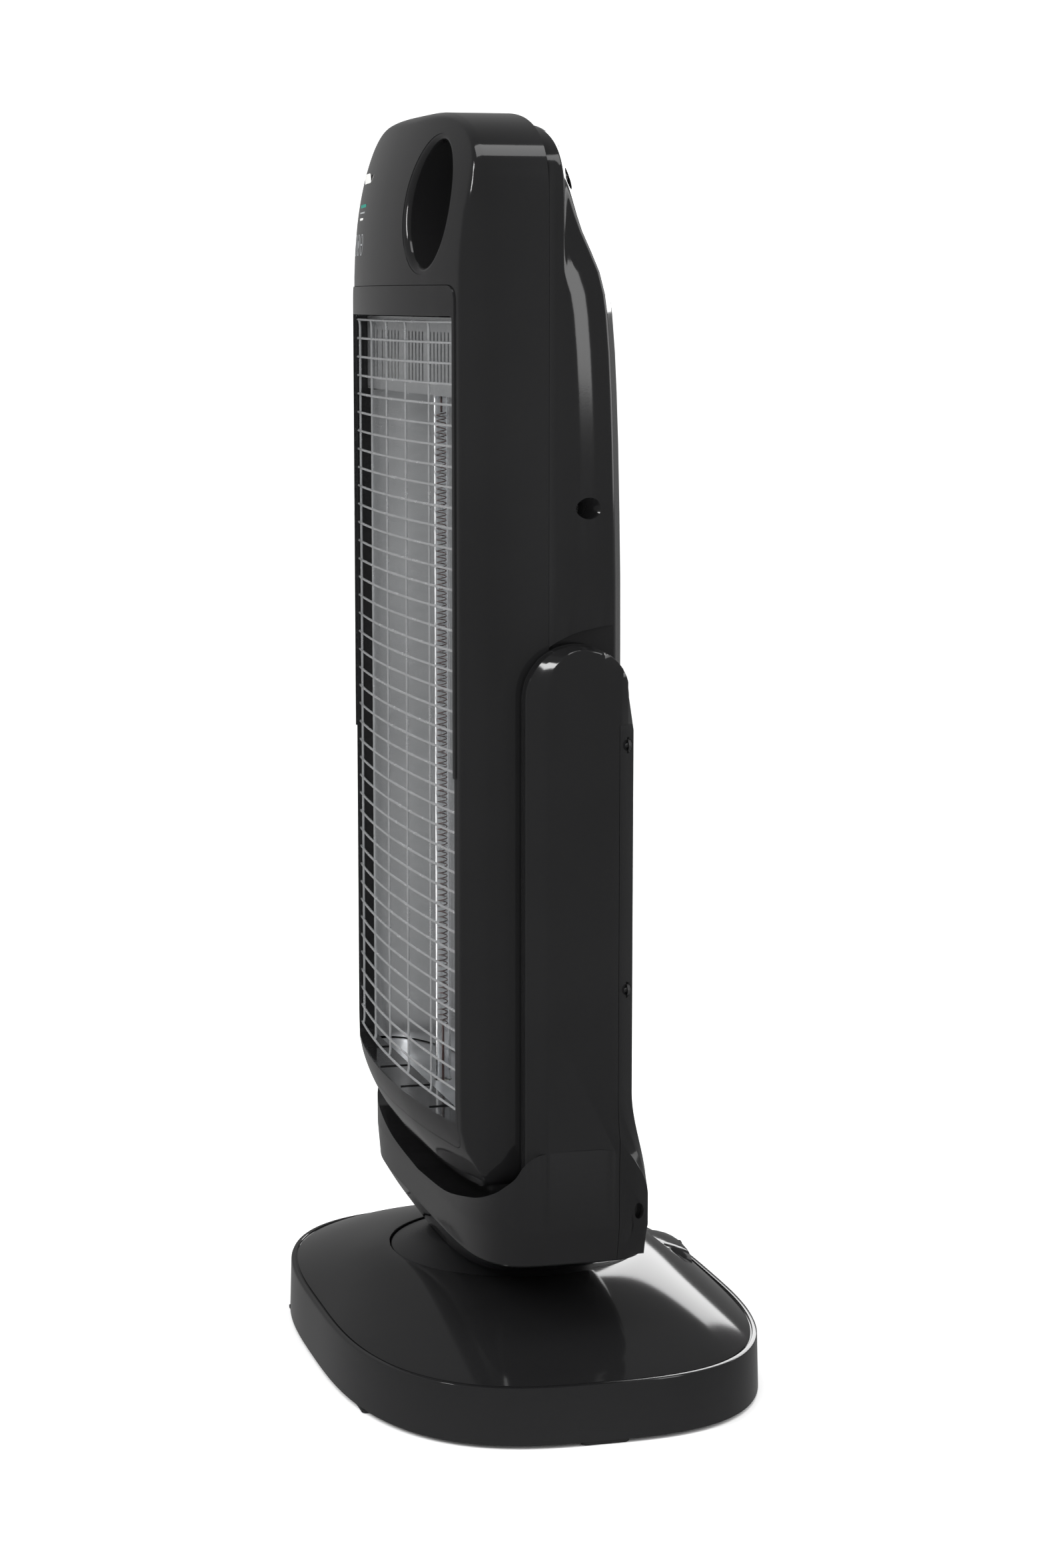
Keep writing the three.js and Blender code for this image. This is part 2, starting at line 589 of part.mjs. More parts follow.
// Back of the head at each height: depth of its middle as [z, y].
const BACK = [[141, 36], [165, 44], [185, 46], [478, 46], [565, 45], [632, 43], [678, 40],
  [703, 35], [730, 23], [762, 14], [780, 12], [794.5, 7]];

function backDepth(z) {
  const last = BACK.length - 1;
  const i = Math.min(last, Math.max(1, BACK.findIndex(([height]) => height >= z)));
  const [[z0, y0], [z1, y1]] = [BACK[i - 1], BACK[i]];
  return y0 + (y1 - y0) * Math.min(1, (z - z0) / (z1 - z0));
}

// Plan section of the rear shell at height z: flat side, two bevels and a crowned back.
function rearSection(z, half, depth, mouth) {
  const y1 = -13;
  const y2 = Math.max(y1 + 2, depth - 37);
  const y3 = Math.max(y2 + 2, depth - 24);
  const y4 = Math.max(y3 + 2, depth - 15);
  const y5 = Math.max(y4 + 1, depth - 7);
  const shrink = Math.min(1, half / 120);
  const outline = [[half - 4, mouth], [half - 4, HEAD.seam], [half, y1], [half, y2], [half - 6 * shrink, y3],
    [half - 24 * shrink, y4], [half - 54 * shrink, y5], [half / 3, depth - 1.5], [0, depth]];
  return mirrored(outline.map(([x, y]) => [x, y, z]));
}

function rearSolid(wall, mouth) {
  const top = REAR.top - wall;
  const bottom = HEAD.bottom + wall;
  const rings = [];
  for (const part of [0.02, 0.2, 0.5, 1]) {
    const z = HEAD.bottomSpring - (HEAD.bottomSpring - bottom) * (1 - part ** 2.2);
    const drop = (HEAD.bottomSpring - z) / (HEAD.bottomSpring - bottom);
    const power = HEAD.bottomPower;
    const half = (REAR.half - wall) * (1 - Math.min(0.999, drop) ** power) ** (1 / power);
    rings.push([z, half]);
  }
  for (const z of [478, 565, 632, 678, 703, HEAD.topSpring]) {
    rings.push([z, REAR.half - wall]);
  }
  for (const degrees of [15, 30, 45, 60, 78]) {
    const angle = degrees * Math.PI / 180;
    rings.push([
      HEAD.topSpring + (top - HEAD.topSpring) * Math.sin(angle) ** (2 / HEAD.power),
      (REAR.half - wall) * Math.cos(angle) ** (2 / HEAD.power),
    ]);
  }
  return solidOf(loft(rings.map(([z, half]) => rearSection(z, half, backDepth(z + wall) - wall, mouth))));
}

// Space beside the lower part of the rear shell in which the arms stand.
function armPocket(floorX, grow = 0) {
  const top = REAR.pocketTop + grow;
  const outline = [[-60, 130], [90, 130], [90, 400 + grow], [24 + grow, 430 + grow], [23.5 + grow, top],
    [10, top - 1], [-4, top - 3.5], [-14, top - 8], [-20, top - 12.5], [-26, top - 19], [-60, top - 62]];
  const side = solidOf(alongX(outline, floorX, 200));
  return union(side, solidOf(alongX(outline, -200, -floorX)));
}

function makeFrontHousing() {
  const body = frontSolid(0, HEAD.seam - GAP).subtract(frontSolid(WALL, 0));
  const outline = roundedRectangle(WINDOW.half, WINDOW.bottom, WINDOW.top, WINDOW.radius);
  const window = solidOf(alongY(outline, -120, 0));
  return cut(body, window, handleTunnel(GAP + HANDLE.wall));
}

function makeRearShell() {
  const outer = rearSolid(0, HEAD.seam).subtract(armPocket(REAR.pocketX));
  const room = rearSolid(WALL, HEAD.seam - 20).subtract(armPocket(REAR.pocketX - WALL, WALL));
  const bosses = headScrewPlaces().map(([side, { z, bossX }]) => (
    solidOf(box(side > 0 ? bossX : -152, side > 0 ? 152 : -bossX, -18, 16, z - 8, z + 8))
      .intersect(outer)
  ));
  const scoops = headScrewPlaces().map(([side, screw]) => headScrewRod(side, screw, 6.8, 0, 30, 12));
  const shanks = headScrewPlaces().map(([side, screw]) => headScrewRod(side, screw, 1.9, -30, 20));
  const vents = [];
  for (let i = 0; i < VENTS.rows; i += 1) {
    const z = VENTS.bottom + i * VENTS.pitch;
    vents.push(solidOf(box(-VENTS.half, VENTS.half, 20, 60, z, z + VENTS.height)));
  }
  const pivotHole = solidOf(rod('x', PIVOT.y, PIVOT.z, -200, 200, PIVOT.boltRadius + 0.4, 16));
  const shell = union(outer.subtract(room), ...bosses);
  return largest(cut(shell, ...scoops, ...shanks, ...vents, pivotHole, handleTunnel(GAP + HANDLE.wall)));
}

function headScrewRod(side, { z, seatX, seatY }, radius, from, to, sides = 8) {
  const geometry = new THREE.CylinderGeometry(radius, radius, to - from, sides)
    .translate(0, (from + to) / 2, 0);
  geometry.rotateZ(-side * HEAD_SCREW_LEAN);
  return solidOf(geometry.translate(side * seatX, seatY, z));
}

function addHeadScrews() {
  headScrewPlaces().forEach(([side, screw], i) => {
    const head = headScrewRod(side, screw, 3.4, GAP, 2.6);
    add(`head_screw_${i + 1}`, union(head, headScrewRod(side, screw, 1.5, -9, 0.5)), FINISH.steel);
  });
}

// Frame round the wire front: a proud strip above, a deep sill below, thin cheeks beside.
function makeGrilleFrame() {
  const outer = roundedRectangle(WINDOW.half - GAP, WINDOW.bottom + GAP, WINDOW.top - GAP, WINDOW.radius);
  const prism = solidOf(alongY(outer, -120, -64));
  const lower = prism.intersect(frontSolid(0, HEAD.seam)).intersect(solidOf(box(-200, 200, -200, 0, 0, 400)));
  const upper = prism.intersect(frontSolid(0, HEAD.seam).translate([0, -1, 0]))
    .intersect(solidOf(box(-200, 200, -200, 0, 400, 900)));
  const opening = solidOf(box(-OPENING.half, OPENING.half, -120, 0, OPENING.bottom, OPENING.top));
  const behindStrip = frontSolid(WALL, 0).intersect(
    solidOf(box(-OPENING.half, OPENING.half, -120, 0, OPENING.top - 1, WINDOW.top - 3)));
  const behindSill = frontSolid(WALL, 0).intersect(
    solidOf(box(-OPENING.half, OPENING.half, -120, 0, WINDOW.bottom + 3, OPENING.bottom - 3)));
  return cut(union(lower, upper), opening, behindStrip, behindSill);
}

// Welded wire front. The rows are joined to the outer uprights, the other uprights stand
// just behind the rows and are joined at the top and bottom rows.
function grilleDepth(x) {
  return GRILLE.y + x * x / 2500;
}

function makeGrille() {
  const { rows, pitch, topZ, wire, columns, half } = GRILLE;
  const reach = [-half, -72, 0, 72, half];
  const section = [[-wire, 0], [0, -wire], [wire, 0], [0, wire]];
  const row = (z) => solidOf(loft(reach.map((x) => (
    section.map(([dy, dz]) => [x, grilleDepth(x) + dy, z + dz])
  ))));
  const bottomZ = topZ - (rows - 1) * pitch;
  const upright = (x, dy) => {
    const y = grilleDepth(x) + dy;
    const path = [[bottomZ - 0.5, y - dy], [bottomZ + 3, y], [topZ - 3, y], [topZ + 0.5, y - dy]];
    return solidOf(loft(path.map(([z, depth]) => section.map(([dx, dd]) => [x + dx, depth + dd, z]))));
  };
  const parts = [];
  for (let i = 0; i < rows; i += 1) {
    parts.push(row(topZ - i * pitch));
  }
  for (const x of columns) {
    const behind = x === columns[columns.length - 1] ? 1 : 1.9;
    parts.push(upright(x, behind), upright(-x, behind));
  }
  return union(...parts);
}

// ---------------------------------------------------------------- heating chamber
// Folded mirror sheet: two cheeks and a shallow trough behind the tube, as [x, y].
function makeReflector() {
  const face = [[133, -63], [130, -52], [117, -38], [86, -25], [45, -19], [0, -17]];
  const back = face.map(([x, y]) => [x + (y < -30 ? 0.6 : 0), y + 0.8]);
  return alongZ([...mirrored(face), ...mirrored(back).reverse()], 183, 627);
}

function makeBaffle() {
  const { y, bottom, top, slotBottom, slotTop, slotPitch, slotWidth } = BAFFLE;
  const profile = [[y - 0.5, bottom], [y + 0.5, bottom], [y + 0.5, top - 1], [-24, top - 1], [-24, top],
    [y - 0.5, top]];
  const sheet = solidOf(alongX(profile, -133, 133));
  const slots = [];
  for (const centre of [-66, 0, 66]) {
    for (let i = -2.5; i <= 2.5; i += 1) {
      slots.push(centre + i * slotPitch);
    }
  }
  slots.push(-122, -113, -104, 104, 113, 122);
  return cut(sheet, ...slots.map((x) => (
    solidOf(box(x - slotWidth / 2, x + slotWidth / 2, y - 3, y + 3, slotBottom, slotTop))
  )));
}

function addChamber() {
  const { y, radius, bore, bottom, top } = TUBE;
  add('reflector', makeReflector(), FINISH.aluminium);
  add('top_baffle', makeBaffle(), FINISH.aluminium);
  const floor = solidOf(box(-130, 130, -63, -18.5, 181, 182));
  add('bottom_plate', cut(floor, solidOf(rod('z', 0, y, 170, 190, radius + 1, 16))), FINISH.steel);
  const tube = turned([[bore, bottom], [radius, bottom], [radius, top], [bore, top]], 16);
  add('quartz_tube', tube.translate(0, y, 0), FINISH.quartz);
  add('filament', rod('z', 0, y, 219, 616, 3.2, 10), FINISH.filament);
  const socket = (z0, z1) => solidOf(rod('z', 0, y, z0, z1, radius + GAP, 16));
  const lower = cut(solidOf(rod('z', 0, y, 160, 180.6, 8, 16)), socket(bottom - GAP, 190));
  const upper = cut(solidOf(rod('z', 0, y, 629.4, 650, 8, 16)), socket(620, top + GAP));
  add('end_cap_bottom', lower, FINISH.ceramic);
  add('end_cap_top', upper, FINISH.ceramic);
  add('tube_bracket_bottom', box(-40, 40, -62, -24, 157.5, 159.7), FINISH.steel);
  add('tube_bracket_top', box(-40, 40, -62, -24, 650.3, 652), FINISH.steel);
  add('thermal_cutout', rod('z', -60, -44, 676.3, 684, 8, 12), FINISH.steel);
  add('control_board', box(-124, -40, -62, -60.4, 700, 764), FINISH.board);
}

function makeHandleSleeve() {
  const envelope = union(frontSolid(0, HEAD.seam), rearSolid(0, HEAD.seam - 1));
  return handleTunnel(HANDLE.wall).intersect(envelope).subtract(handleTunnel(0));
}

// ---------------------------------------------------------------- assembly
add('base_cover', makeBaseCover(), FINISH.glossBlack);
add('base_plate', makeBasePlate(), FINISH.satinBlack);
add('ballast_plate', makeBallast(), FINISH.steel);
addFeet();
addBaseScrews();
add('cord_gland', turned([[3.2, 0], [7, 0], [7, 16], [3.2, 16]], 16)
  .rotateX(-Math.PI / 2)
  .translate(0, 99, 54), FINISH.rubber);
addSwivelDrive();
addTipSwitch();
addTurntable();
addYoke();
addPivots();
add('front_housing', makeFrontHousing(), FINISH.glossBlack);
add('rear_shell', makeRearShell(), FINISH.glossBlack);
add('grille_frame', makeGrilleFrame(), FINISH.glossBlack);
add('grille', makeGrille(), FINISH.chrome);
add('handle_sleeve', makeHandleSleeve(), FINISH.glossBlack);
addHeadScrews();
addChamber();

export default heater;
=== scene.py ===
"""Radiant tower heater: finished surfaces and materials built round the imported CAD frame.

Outlines are in millimetres in the CAD's own frame: +Z up, front towards -Y, origin on the
floor under the turntable axis. Meshes are scaled to metres as they are made.
"""

import json
import math

import bmesh
import bpy
from mathutils import Euler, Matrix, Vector


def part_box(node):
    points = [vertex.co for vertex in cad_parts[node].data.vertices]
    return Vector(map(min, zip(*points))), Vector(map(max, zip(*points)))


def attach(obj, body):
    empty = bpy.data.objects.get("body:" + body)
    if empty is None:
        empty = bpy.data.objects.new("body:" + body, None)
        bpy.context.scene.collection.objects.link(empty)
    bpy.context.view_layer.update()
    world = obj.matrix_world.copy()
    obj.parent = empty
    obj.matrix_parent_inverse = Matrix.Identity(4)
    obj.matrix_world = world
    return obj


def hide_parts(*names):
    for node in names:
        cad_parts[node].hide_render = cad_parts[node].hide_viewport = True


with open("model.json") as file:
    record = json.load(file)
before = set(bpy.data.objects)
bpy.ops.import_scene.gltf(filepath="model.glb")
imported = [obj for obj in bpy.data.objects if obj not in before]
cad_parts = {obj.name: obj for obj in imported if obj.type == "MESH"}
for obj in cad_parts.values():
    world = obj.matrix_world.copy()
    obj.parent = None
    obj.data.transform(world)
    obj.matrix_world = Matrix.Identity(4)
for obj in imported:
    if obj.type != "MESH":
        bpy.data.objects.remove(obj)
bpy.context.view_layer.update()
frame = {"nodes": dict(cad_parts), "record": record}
MM = 0.001
SEAM = 0.15

BASE = dict(half_x=210, half_y=138, power=2.9, bottom=2.4, rim_top=38, draft=1.2, lip=3.6,
            dome_rise=32, dome_power=1.52, well_floor=62, well=83.3, hub=17, wall=3)
# Hood over the cord exit: distance back, half width and height of each arch.
CORD_HOOD = [(84, 12, 66), (88, 19, 67), (92, 24, 67.2), (98, 28, 66.4), (104, 30, 65),
             (110, 30.4, 63), (114, 30, 61)]
CORD_THROAT = dict(radius=7.3, z=54)
DISC = dict(bottom=64.6, rim=82.8, rim_top=69, crown=58, top=77.7, bore=13.3)
YOKE = dict(inner=152.5, outer=170, front=-38, rear=31, radius=33, centre_y=-8, foot=124,
            split=20, cover_top=433)
# Bowl that carries the arms: height, half length, half depth and squareness, from its foot up.
BOWL = [(78, 100, 45, 3), (92, 140, 54, 4), (102, 164, 57.5, 5), (123, 170, 58.5, 5)]
PIVOT = dict(y=-5, z=449)
TROUGH = [(0, 123), (70, 127), (120, 135.5), (140, 140), (155, 146), (162, 151.5), (166, 157),
          (168, 164.5), (170, 173)]
YOKE_NOTCH = (33, 132)
YOKE_SCREWS = [(side * 162, z) for z in (270, 420.5) for side in (1, -1)]

HEAD = dict(half=150, bottom=141, top=801, power=3.1, bottom_power=6, top_spring=736,
            bottom_spring=183, band=-58, seam=-20, front=-87, bow=750)
REAR = dict(half=154, top=794.5, pocket=148, pocket_top=492.5, wall=3)
BACK = [(141, 36), (165, 44), (185, 46), (478, 46), (565, 45), (632, 43), (678, 40), (703, 35),
        (730, 23), (762, 14), (780, 12), (794.5, 7)]
# Head screws: side, height, seat of the head and inner end of the boss behind it.
HEAD_SCREWS = [(side, *rest) for rest in ((563, 146, -4, 132), (758, 136.4, -8.3, 124))
               for side in (1, -1)]
HEAD_SCREW_LEAN = math.radians(40)
SCOOP_RADIUS = 6.5
WINDOW = dict(half=137, bottom=169, top=695.5, radius=11)
OPENING = dict(half=134, bottom=186, top=677, radius=3)
HOLE = dict(x=81, z=744, half_x=36.5, half_z=38, wall=2.5, flare=4)
VENTS = dict(rows=8, bottom=520, pitch=13, height=5, half=70)
GRILLE = dict(rows=40, pitch=12.3, top=673.5, wire=0.8, columns=(26, 78, 130), half=133.4, y=-80)
TUBE = dict(y=-49, radius=5, bore=4, bottom=172.3, top=637.7)
COIL = dict(radius=3.0, wire=0.32, pitch=3.6, bottom=219, top=616)
# Plan of the reflector from its front edge to its middle, its height range and its thickness.
REFLECTOR = [(133, -63), (130, -52), (117, -38), (86, -25), (45, -19), (0, -17)]
REFLECTOR_SPAN = (183, 627)
REFLECTOR_SHEET = 0.8
PRINT_LIFT = 0.12
PRINT_SINK = 0.1


# ---------------------------------------------------------------- curves
def power_curve(value, exponent):
    return math.copysign(abs(value) ** exponent, value)


def spline(points, steps):
    """Smooth curve through the points, with `steps` pieces between each pair."""
    last = len(points) - 1
    curve = []
    for i in range(last):
        a, b = Vector(points[max(i - 1, 0)]), Vector(points[i])
        c, d = Vector(points[i + 1]), Vector(points[min(i + 2, last)])
        for k in range(steps):
            t = k / steps
            curve.append(tuple(0.5 * (2 * b + (c - a) * t + (2 * a - 5 * b + 4 * c - d) * t * t
                                      + (3 * b - a - 3 * c + d) * t ** 3)))
    return curve + [tuple(points[-1])]


def between(table, x):
    """Value at x of a table of (x, value) rows in rising order."""
    if x <= table[0][0]:
        return table[0][1]
    for (x0, y0), (x1, y1) in zip(table, table[1:]):
        if x <= x1:
            return y0 + (y1 - y0) * (x - x0) / (x1 - x0)
    return table[-1][1]


def ease(t):
    t = min(1, max(0, t))
    return t * t * (3 - 2 * t)


def rounded(outline, radius, steps=4, closed=True):
    """The outline with each corner replaced by a short curve."""
    result = []
    count = len(outline)
    for i, corner in enumerate(outline):
        if not closed and i in (0, count - 1):
            result.append(tuple(corner))
            continue
        here = Vector(corner)
        before, after = Vector(outline[i - 1]) - here, Vector(outline[(i + 1) % count]) - here
        start = here + before.normalized() * min(radius, before.length * 0.45)
        end = here + after.normalized() * min(radius, after.length * 0.45)
        for k in range(steps + 1):
            t = k / steps
            result.append(tuple(start * (1 - t) ** 2 + here * 2 * t * (1 - t) + end * t * t))
    return result


def oval(half_x, half_y, power, steps, centre=(0, 0)):
    """Superellipse; a power of 2 is an ellipse."""
    points = []
    for i in range(steps):
        angle = 2 * math.pi * i / steps
        points.append((centre[0] + half_x * power_curve(math.cos(angle), 2 / power),
                       centre[1] + half_y * power_curve(math.sin(angle), 2 / power)))
    return points


def rounded_box(half, bottom, top, radius, steps=8):
    return rounded([(half, top), (-half, top), (-half, bottom), (half, bottom)], radius, steps)


def mirror(outline):
    return list(outline) + [(-p[0], *p[1:]) for p in reversed(outline) if p[0] > 1e-6]


# ---------------------------------------------------------------- meshes
def shade(mesh, crease):
    mesh.polygons.foreach_set("use_smooth", [True] * len(mesh.polygons))
    mesh.set_sharp_from_angle(angle=math.radians(crease))


def make(name, parts):
    """Object from (points, faces) parts in millimetres."""
    points = []
    faces = []
    for part_points, part_faces in parts:
        offset = len(points)
        points.extend([MM * c for c in p] for p in part_points)
        faces.extend(tuple(offset + i for i in face) for face in part_faces)
    mesh = bpy.data.meshes.new(name)
    mesh.from_pydata(points, [], faces)
    clean = bmesh.new()
    clean.from_mesh(mesh)
    bmesh.ops.remove_doubles(clean, verts=clean.verts, dist=1e-6)
    bmesh.ops.dissolve_degenerate(clean, edges=clean.edges, dist=1e-7)
    bmesh.ops.recalc_face_normals(clean, faces=clean.faces)
    clean.to_mesh(mesh)
    clean.free()
    piece = bpy.data.objects.new(name, mesh)
    bpy.context.collection.objects.link(piece)
    return piece


def loft(rings, looped=False):
    """Closed skin through rings of points, with flat ends unless it is looped."""
    count = len(rings[0])
    points = [p for ring in rings for p in ring]
    faces = []
    for r in range(len(rings) if looped else len(rings) - 1):
        a, b = r * count, (r + 1) % len(rings) * count
        faces.extend((a + i, a + (i + 1) % count, b + (i + 1) % count, b + i) for i in range(count))
    if not looped:
        faces.append(tuple(reversed(range(count))))
        faces.append(tuple(range(len(points) - count, len(points))))
    return points, faces


def prism(outline, axis, low, high):
    """Outline in the plane across `axis`, carried along it from low to high."""
    place = {
        "x": lambda p, d: (d, p[0], p[1]),
        "y": lambda p, d: (p[0], d, p[1]),
        "z": lambda p, d: (p[0], p[1], d),
    }[axis]
    return loft([[place(p, d) for p in outline] for d in (low, high)])


def block(x0, x1, y0, y1, z0, z1):
    return prism([(x0, y0), (x1, y0), (x1, y1), (x0, y1)], "z", z0, z1)


def lathe(profile, steps, centre=(0, 0), closed=True):
    """Body turned about a vertical axis, from a closed profile of (radius, z) points."""
    rings = []
    for radius, z in profile:
        rings.append([(centre[0] + radius * math.cos(2 * math.pi * i / steps),
                       centre[1] + radius * math.sin(2 * math.pi * i / steps), z)
                      for i in range(steps)])
    return loft(rings, looped=closed)


def tube(path, radius, sides=8):
    """Round wire along a path."""
    rings = []
    side = Vector((0, 0, 1))
    for i, point in enumerate(path):
        ahead = (Vector(path[min(i + 1, len(path) - 1)]) - Vector(path[max(i - 1, 0)])).normalized()
        across = ahead.cross(side)
        if across.length < 0.1:
            across = ahead.cross(Vector((0, 1, 0)))
        across.normalize()
        side = across.cross(ahead)
        rings.append([tuple(Vector(point) + radius * (math.cos(a) * across + math.sin(a) * side))
                      for a in (2 * math.pi * k / sides for k in range(sides))])
    return loft(rings)


def combine(piece, operation, parts):
    """Cuts, joins or intersects the piece with other solids and keeps the result as its mesh."""
    tools = [make(f"tool_{i}", [part]) for i, part in enumerate(parts)]
    for tool in tools:
        step = piece.modifiers.new("step", "BOOLEAN")
        step.operation = operation
        step.solver = "MANIFOLD"
        step.object = tool
    graph = bpy.context.evaluated_depsgraph_get()
    mesh = bpy.data.meshes.new_from_object(piece.evaluated_get(graph))
    piece.modifiers.clear()
    piece.data = mesh
    for tool in tools:
        bpy.data.objects.remove(tool)
    if not mesh.polygons:
        raise RuntimeError(f"{piece.name} came out empty")
    return piece


def cut(piece, *parts):
    return combine(piece, "DIFFERENCE", parts)


def soften(piece, width, segments, corner=50):
    """Rounds the edges that are sharper than `corner` degrees."""
    roll = piece.modifiers.new("soften", "BEVEL")
    roll.width = width * MM
    roll.segments = segments
    roll.limit_method = "ANGLE"
    roll.angle_limit = math.radians(corner)
    return combine(piece, "DIFFERENCE", [])


def part_of(piece):
    """The mesh of a finished piece in millimetres, to use in another cut."""
    points = [tuple(c / MM for c in v.co) for v in piece.data.vertices]
    faces = [tuple(face.vertices) for face in piece.data.polygons]
    bpy.data.objects.remove(piece)
    return points, faces


# ---------------------------------------------------------------- materials
def link(tree, source, target):
    tree.links.new(source, target)


def noise(tree, scale, detail=4, stretch=(1, 1, 1)):
    place = tree.nodes.new("ShaderNodeTexCoord")
    mapping = tree.nodes.new("ShaderNodeMapping")
    mapping.inputs["Scale"].default_value = stretch
    pattern = tree.nodes.new("ShaderNodeTexNoise")
    pattern.inputs["Scale"].default_value = scale
    pattern.inputs["Detail"].default_value = detail
    link(tree, place.outputs["Object"], mapping.inputs["Vector"])
    link(tree, mapping.outputs["Vector"], pattern.inputs["Vector"])
    return pattern.outputs["Fac"]


def spread(tree, value, low, high, start=0.3, end=0.7):
    """A pattern's value mapped onto low..high."""
    node = tree.nodes.new("ShaderNodeMapRange")
    for socket, number in zip(("From Min", "From Max", "To Min", "To Max"), (start, end, low, high)):
        node.inputs[socket].default_value = number
    link(tree, value, node.inputs["Value"])
    return node.outputs["Result"]


def mixed(tree, factor, first, second):
    """Mix of two colours; the first may be a colour or another node's output."""
    node = tree.nodes.new("ShaderNodeMix")
    node.data_type = "RGBA"
    link(tree, factor, node.inputs["Factor"])
    for socket, colour in ((node.inputs["A"], first), (node.inputs["B"], second)):
        if isinstance(colour, tuple):
            socket.default_value = (*colour, 1)
        else:
            link(tree, colour, socket)
    return node.outputs["Result"]


def surface(name, colour, rough, metal=0.0, varied=0.12, patch=14, grain=900, bump=0.02,
            stretch=(1, 1, 1), wear=0.0, worn=None, sockets=None):
    """Principled material with colour drift, uneven gloss, fine relief and worn edges."""
    material = bpy.data.materials.new(name)
    material.use_nodes = True
    tree = material.node_tree
    shader = tree.nodes["Principled BSDF"]
    drift = noise(tree, patch, 5)
    fine = noise(tree, grain, 2, stretch)
    dark = tuple(c * (1 - varied) for c in colour)
    light = tuple(c * (1 + varied) for c in colour)
    tint = mixed(tree, spread(tree, drift, 0, 1), dark, light)
    if wear:
        edge = tree.nodes.new("ShaderNodeNewGeometry").outputs["Pointiness"]
        exposed = spread(tree, edge, 0, wear, 0.53, 0.62)
        tint = mixed(tree, exposed, tint, worn or tuple(min(1, c * 2.2 + 0.02) for c in colour))
    link(tree, tint, shader.inputs["Base Color"])
    blur = tree.nodes.new("ShaderNodeMath")
    blur.operation = "ADD"
    link(tree, spread(tree, drift, rough * 0.85, rough * 1.1), blur.inputs[0])
    link(tree, spread(tree, fine, 0, rough * 0.12), blur.inputs[1])
    link(tree, blur.outputs["Value"], shader.inputs["Roughness"])
    relief = tree.nodes.new("ShaderNodeBump")
    relief.inputs["Strength"].default_value = bump
    relief.inputs["Distance"].default_value = 0.0004
    link(tree, fine, relief.inputs["Height"])
    link(tree, relief.outputs["Normal"], shader.inputs["Normal"])
    shader.inputs["Metallic"].default_value = metal
    for socket, number in (sockets or {}).items():
        shader.inputs[socket].default_value = number
    return material


GLOSS = surface("gloss_black", (0.0085, 0.0085, 0.0088), 0.09, patch=9, grain=700, bump=0.012,
                wear=0.25, worn=(0.03, 0.03, 0.031), sockets={"Specular IOR Level": 0.45})
SATIN = surface("satin_black", (0.008, 0.008, 0.0085), 0.30, grain=1500, bump=0.10, wear=0.3,
                sockets={"Specular IOR Level": 0.45})
RUBBER = surface("rubber", (0.012, 0.012, 0.012), 0.75, grain=1100, bump=0.3, varied=0.25)
CHROME = surface("wire_chrome", (0.66, 0.67, 0.68), 0.24, metal=0.8, patch=60, varied=0.06, bump=0.03)
ALUMINIUM = surface("mirror_aluminium", (0.56, 0.57, 0.58), 0.22, metal=0.85, patch=6, varied=0.04,
                    grain=400, stretch=(1, 1, 0.04), bump=0.02)
STEEL = surface("zinc_steel", (0.52, 0.53, 0.54), 0.36, metal=1, patch=70, varied=0.14, grain=1300,
                bump=0.08, wear=0.4, worn=(0.75, 0.75, 0.76))
# Steel darkened as painted shade: it stands in for the shadow inside the screw scoops, not for the
# screws' own zinc finish; its lighter edges are wear
SHADED_STEEL = surface("steel_painted_shade", (0.03, 0.03, 0.031), 0.42, metal=0.6, patch=70, varied=0.2,
                      grain=1300, bump=0.08, wear=0.4, worn=(0.14, 0.14, 0.14))
NYLON = surface("nylon", (0.72, 0.69, 0.60), 0.48, patch=30, varied=0.07, bump=0.06,
                sockets={"Subsurface Weight": 0.08})
CERAMIC = surface("ceramic", (0.80, 0.78, 0.72), 0.62, patch=50, varied=0.08, bump=0.16)
QUARTZ = surface("quartz", (0.97, 0.98, 0.99), 0.02, patch=25, varied=0.01, bump=0.01,
                 sockets={"Transmission Weight": 1.0, "IOR": 1.46})
CARBON = surface("carbon", (0.055, 0.018, 0.014), 0.55, patch=80, varied=0.3, grain=2500, bump=0.2)
BOARD = surface("board", (0.02, 0.11, 0.05), 0.42, patch=40, varied=0.15, grain=1800, bump=0.1)
INK = {
    "white": surface("ink_white", (0.72, 0.72, 0.70), 0.4, varied=0.05, bump=0.05),
    "grey": surface("ink_grey", (0.30, 0.31, 0.32), 0.4, varied=0.05, bump=0.05),
    "teal": surface("ink_teal", (0.01, 0.25, 0.19), 0.4, varied=0.08, bump=0.05),
}
SLOTS = {
    "gloss_black": GLOSS, "satin_black": SATIN, "rubber": RUBBER, "wire_chrome": CHROME,
    "mirror_aluminium": ALUMINIUM, "zinc_steel": STEEL, "nylon": NYLON, "ceramic": CERAMIC,
    "quartz": QUARTZ, "carbon": CARBON, "board": BOARD,
}


def finish_piece(piece, body, slot, *nodes, material=None, crease=32):
    """Gives a piece its material, its CAD body and the CAD nodes that it stands for."""
    shade(piece.data, crease)
    piece.data.materials.clear()
    piece.data.materials.append(material or SLOTS[slot])
    even = piece.modifiers.new("even_shading", "WEIGHTED_NORMAL")
    even.keep_sharp = True
    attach(piece, body)
    if nodes:
        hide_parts(*nodes)
    return piece


# ---------------------------------------------------------------- base
def base_ring(blend, inset, z, steps=224):
    """Plan of the base between the turntable circle (blend 0) and the rim (blend 1)."""
    ring = []
    for x, y in oval(BASE["half_x"], BASE["half_y"], BASE["power"], steps):
        reach = math.hypot(x, y)
        radius = BASE["well"] + blend * (reach - inset - BASE["well"])
        ring.append((x / reach * radius, y / reach * radius, z))
    return ring


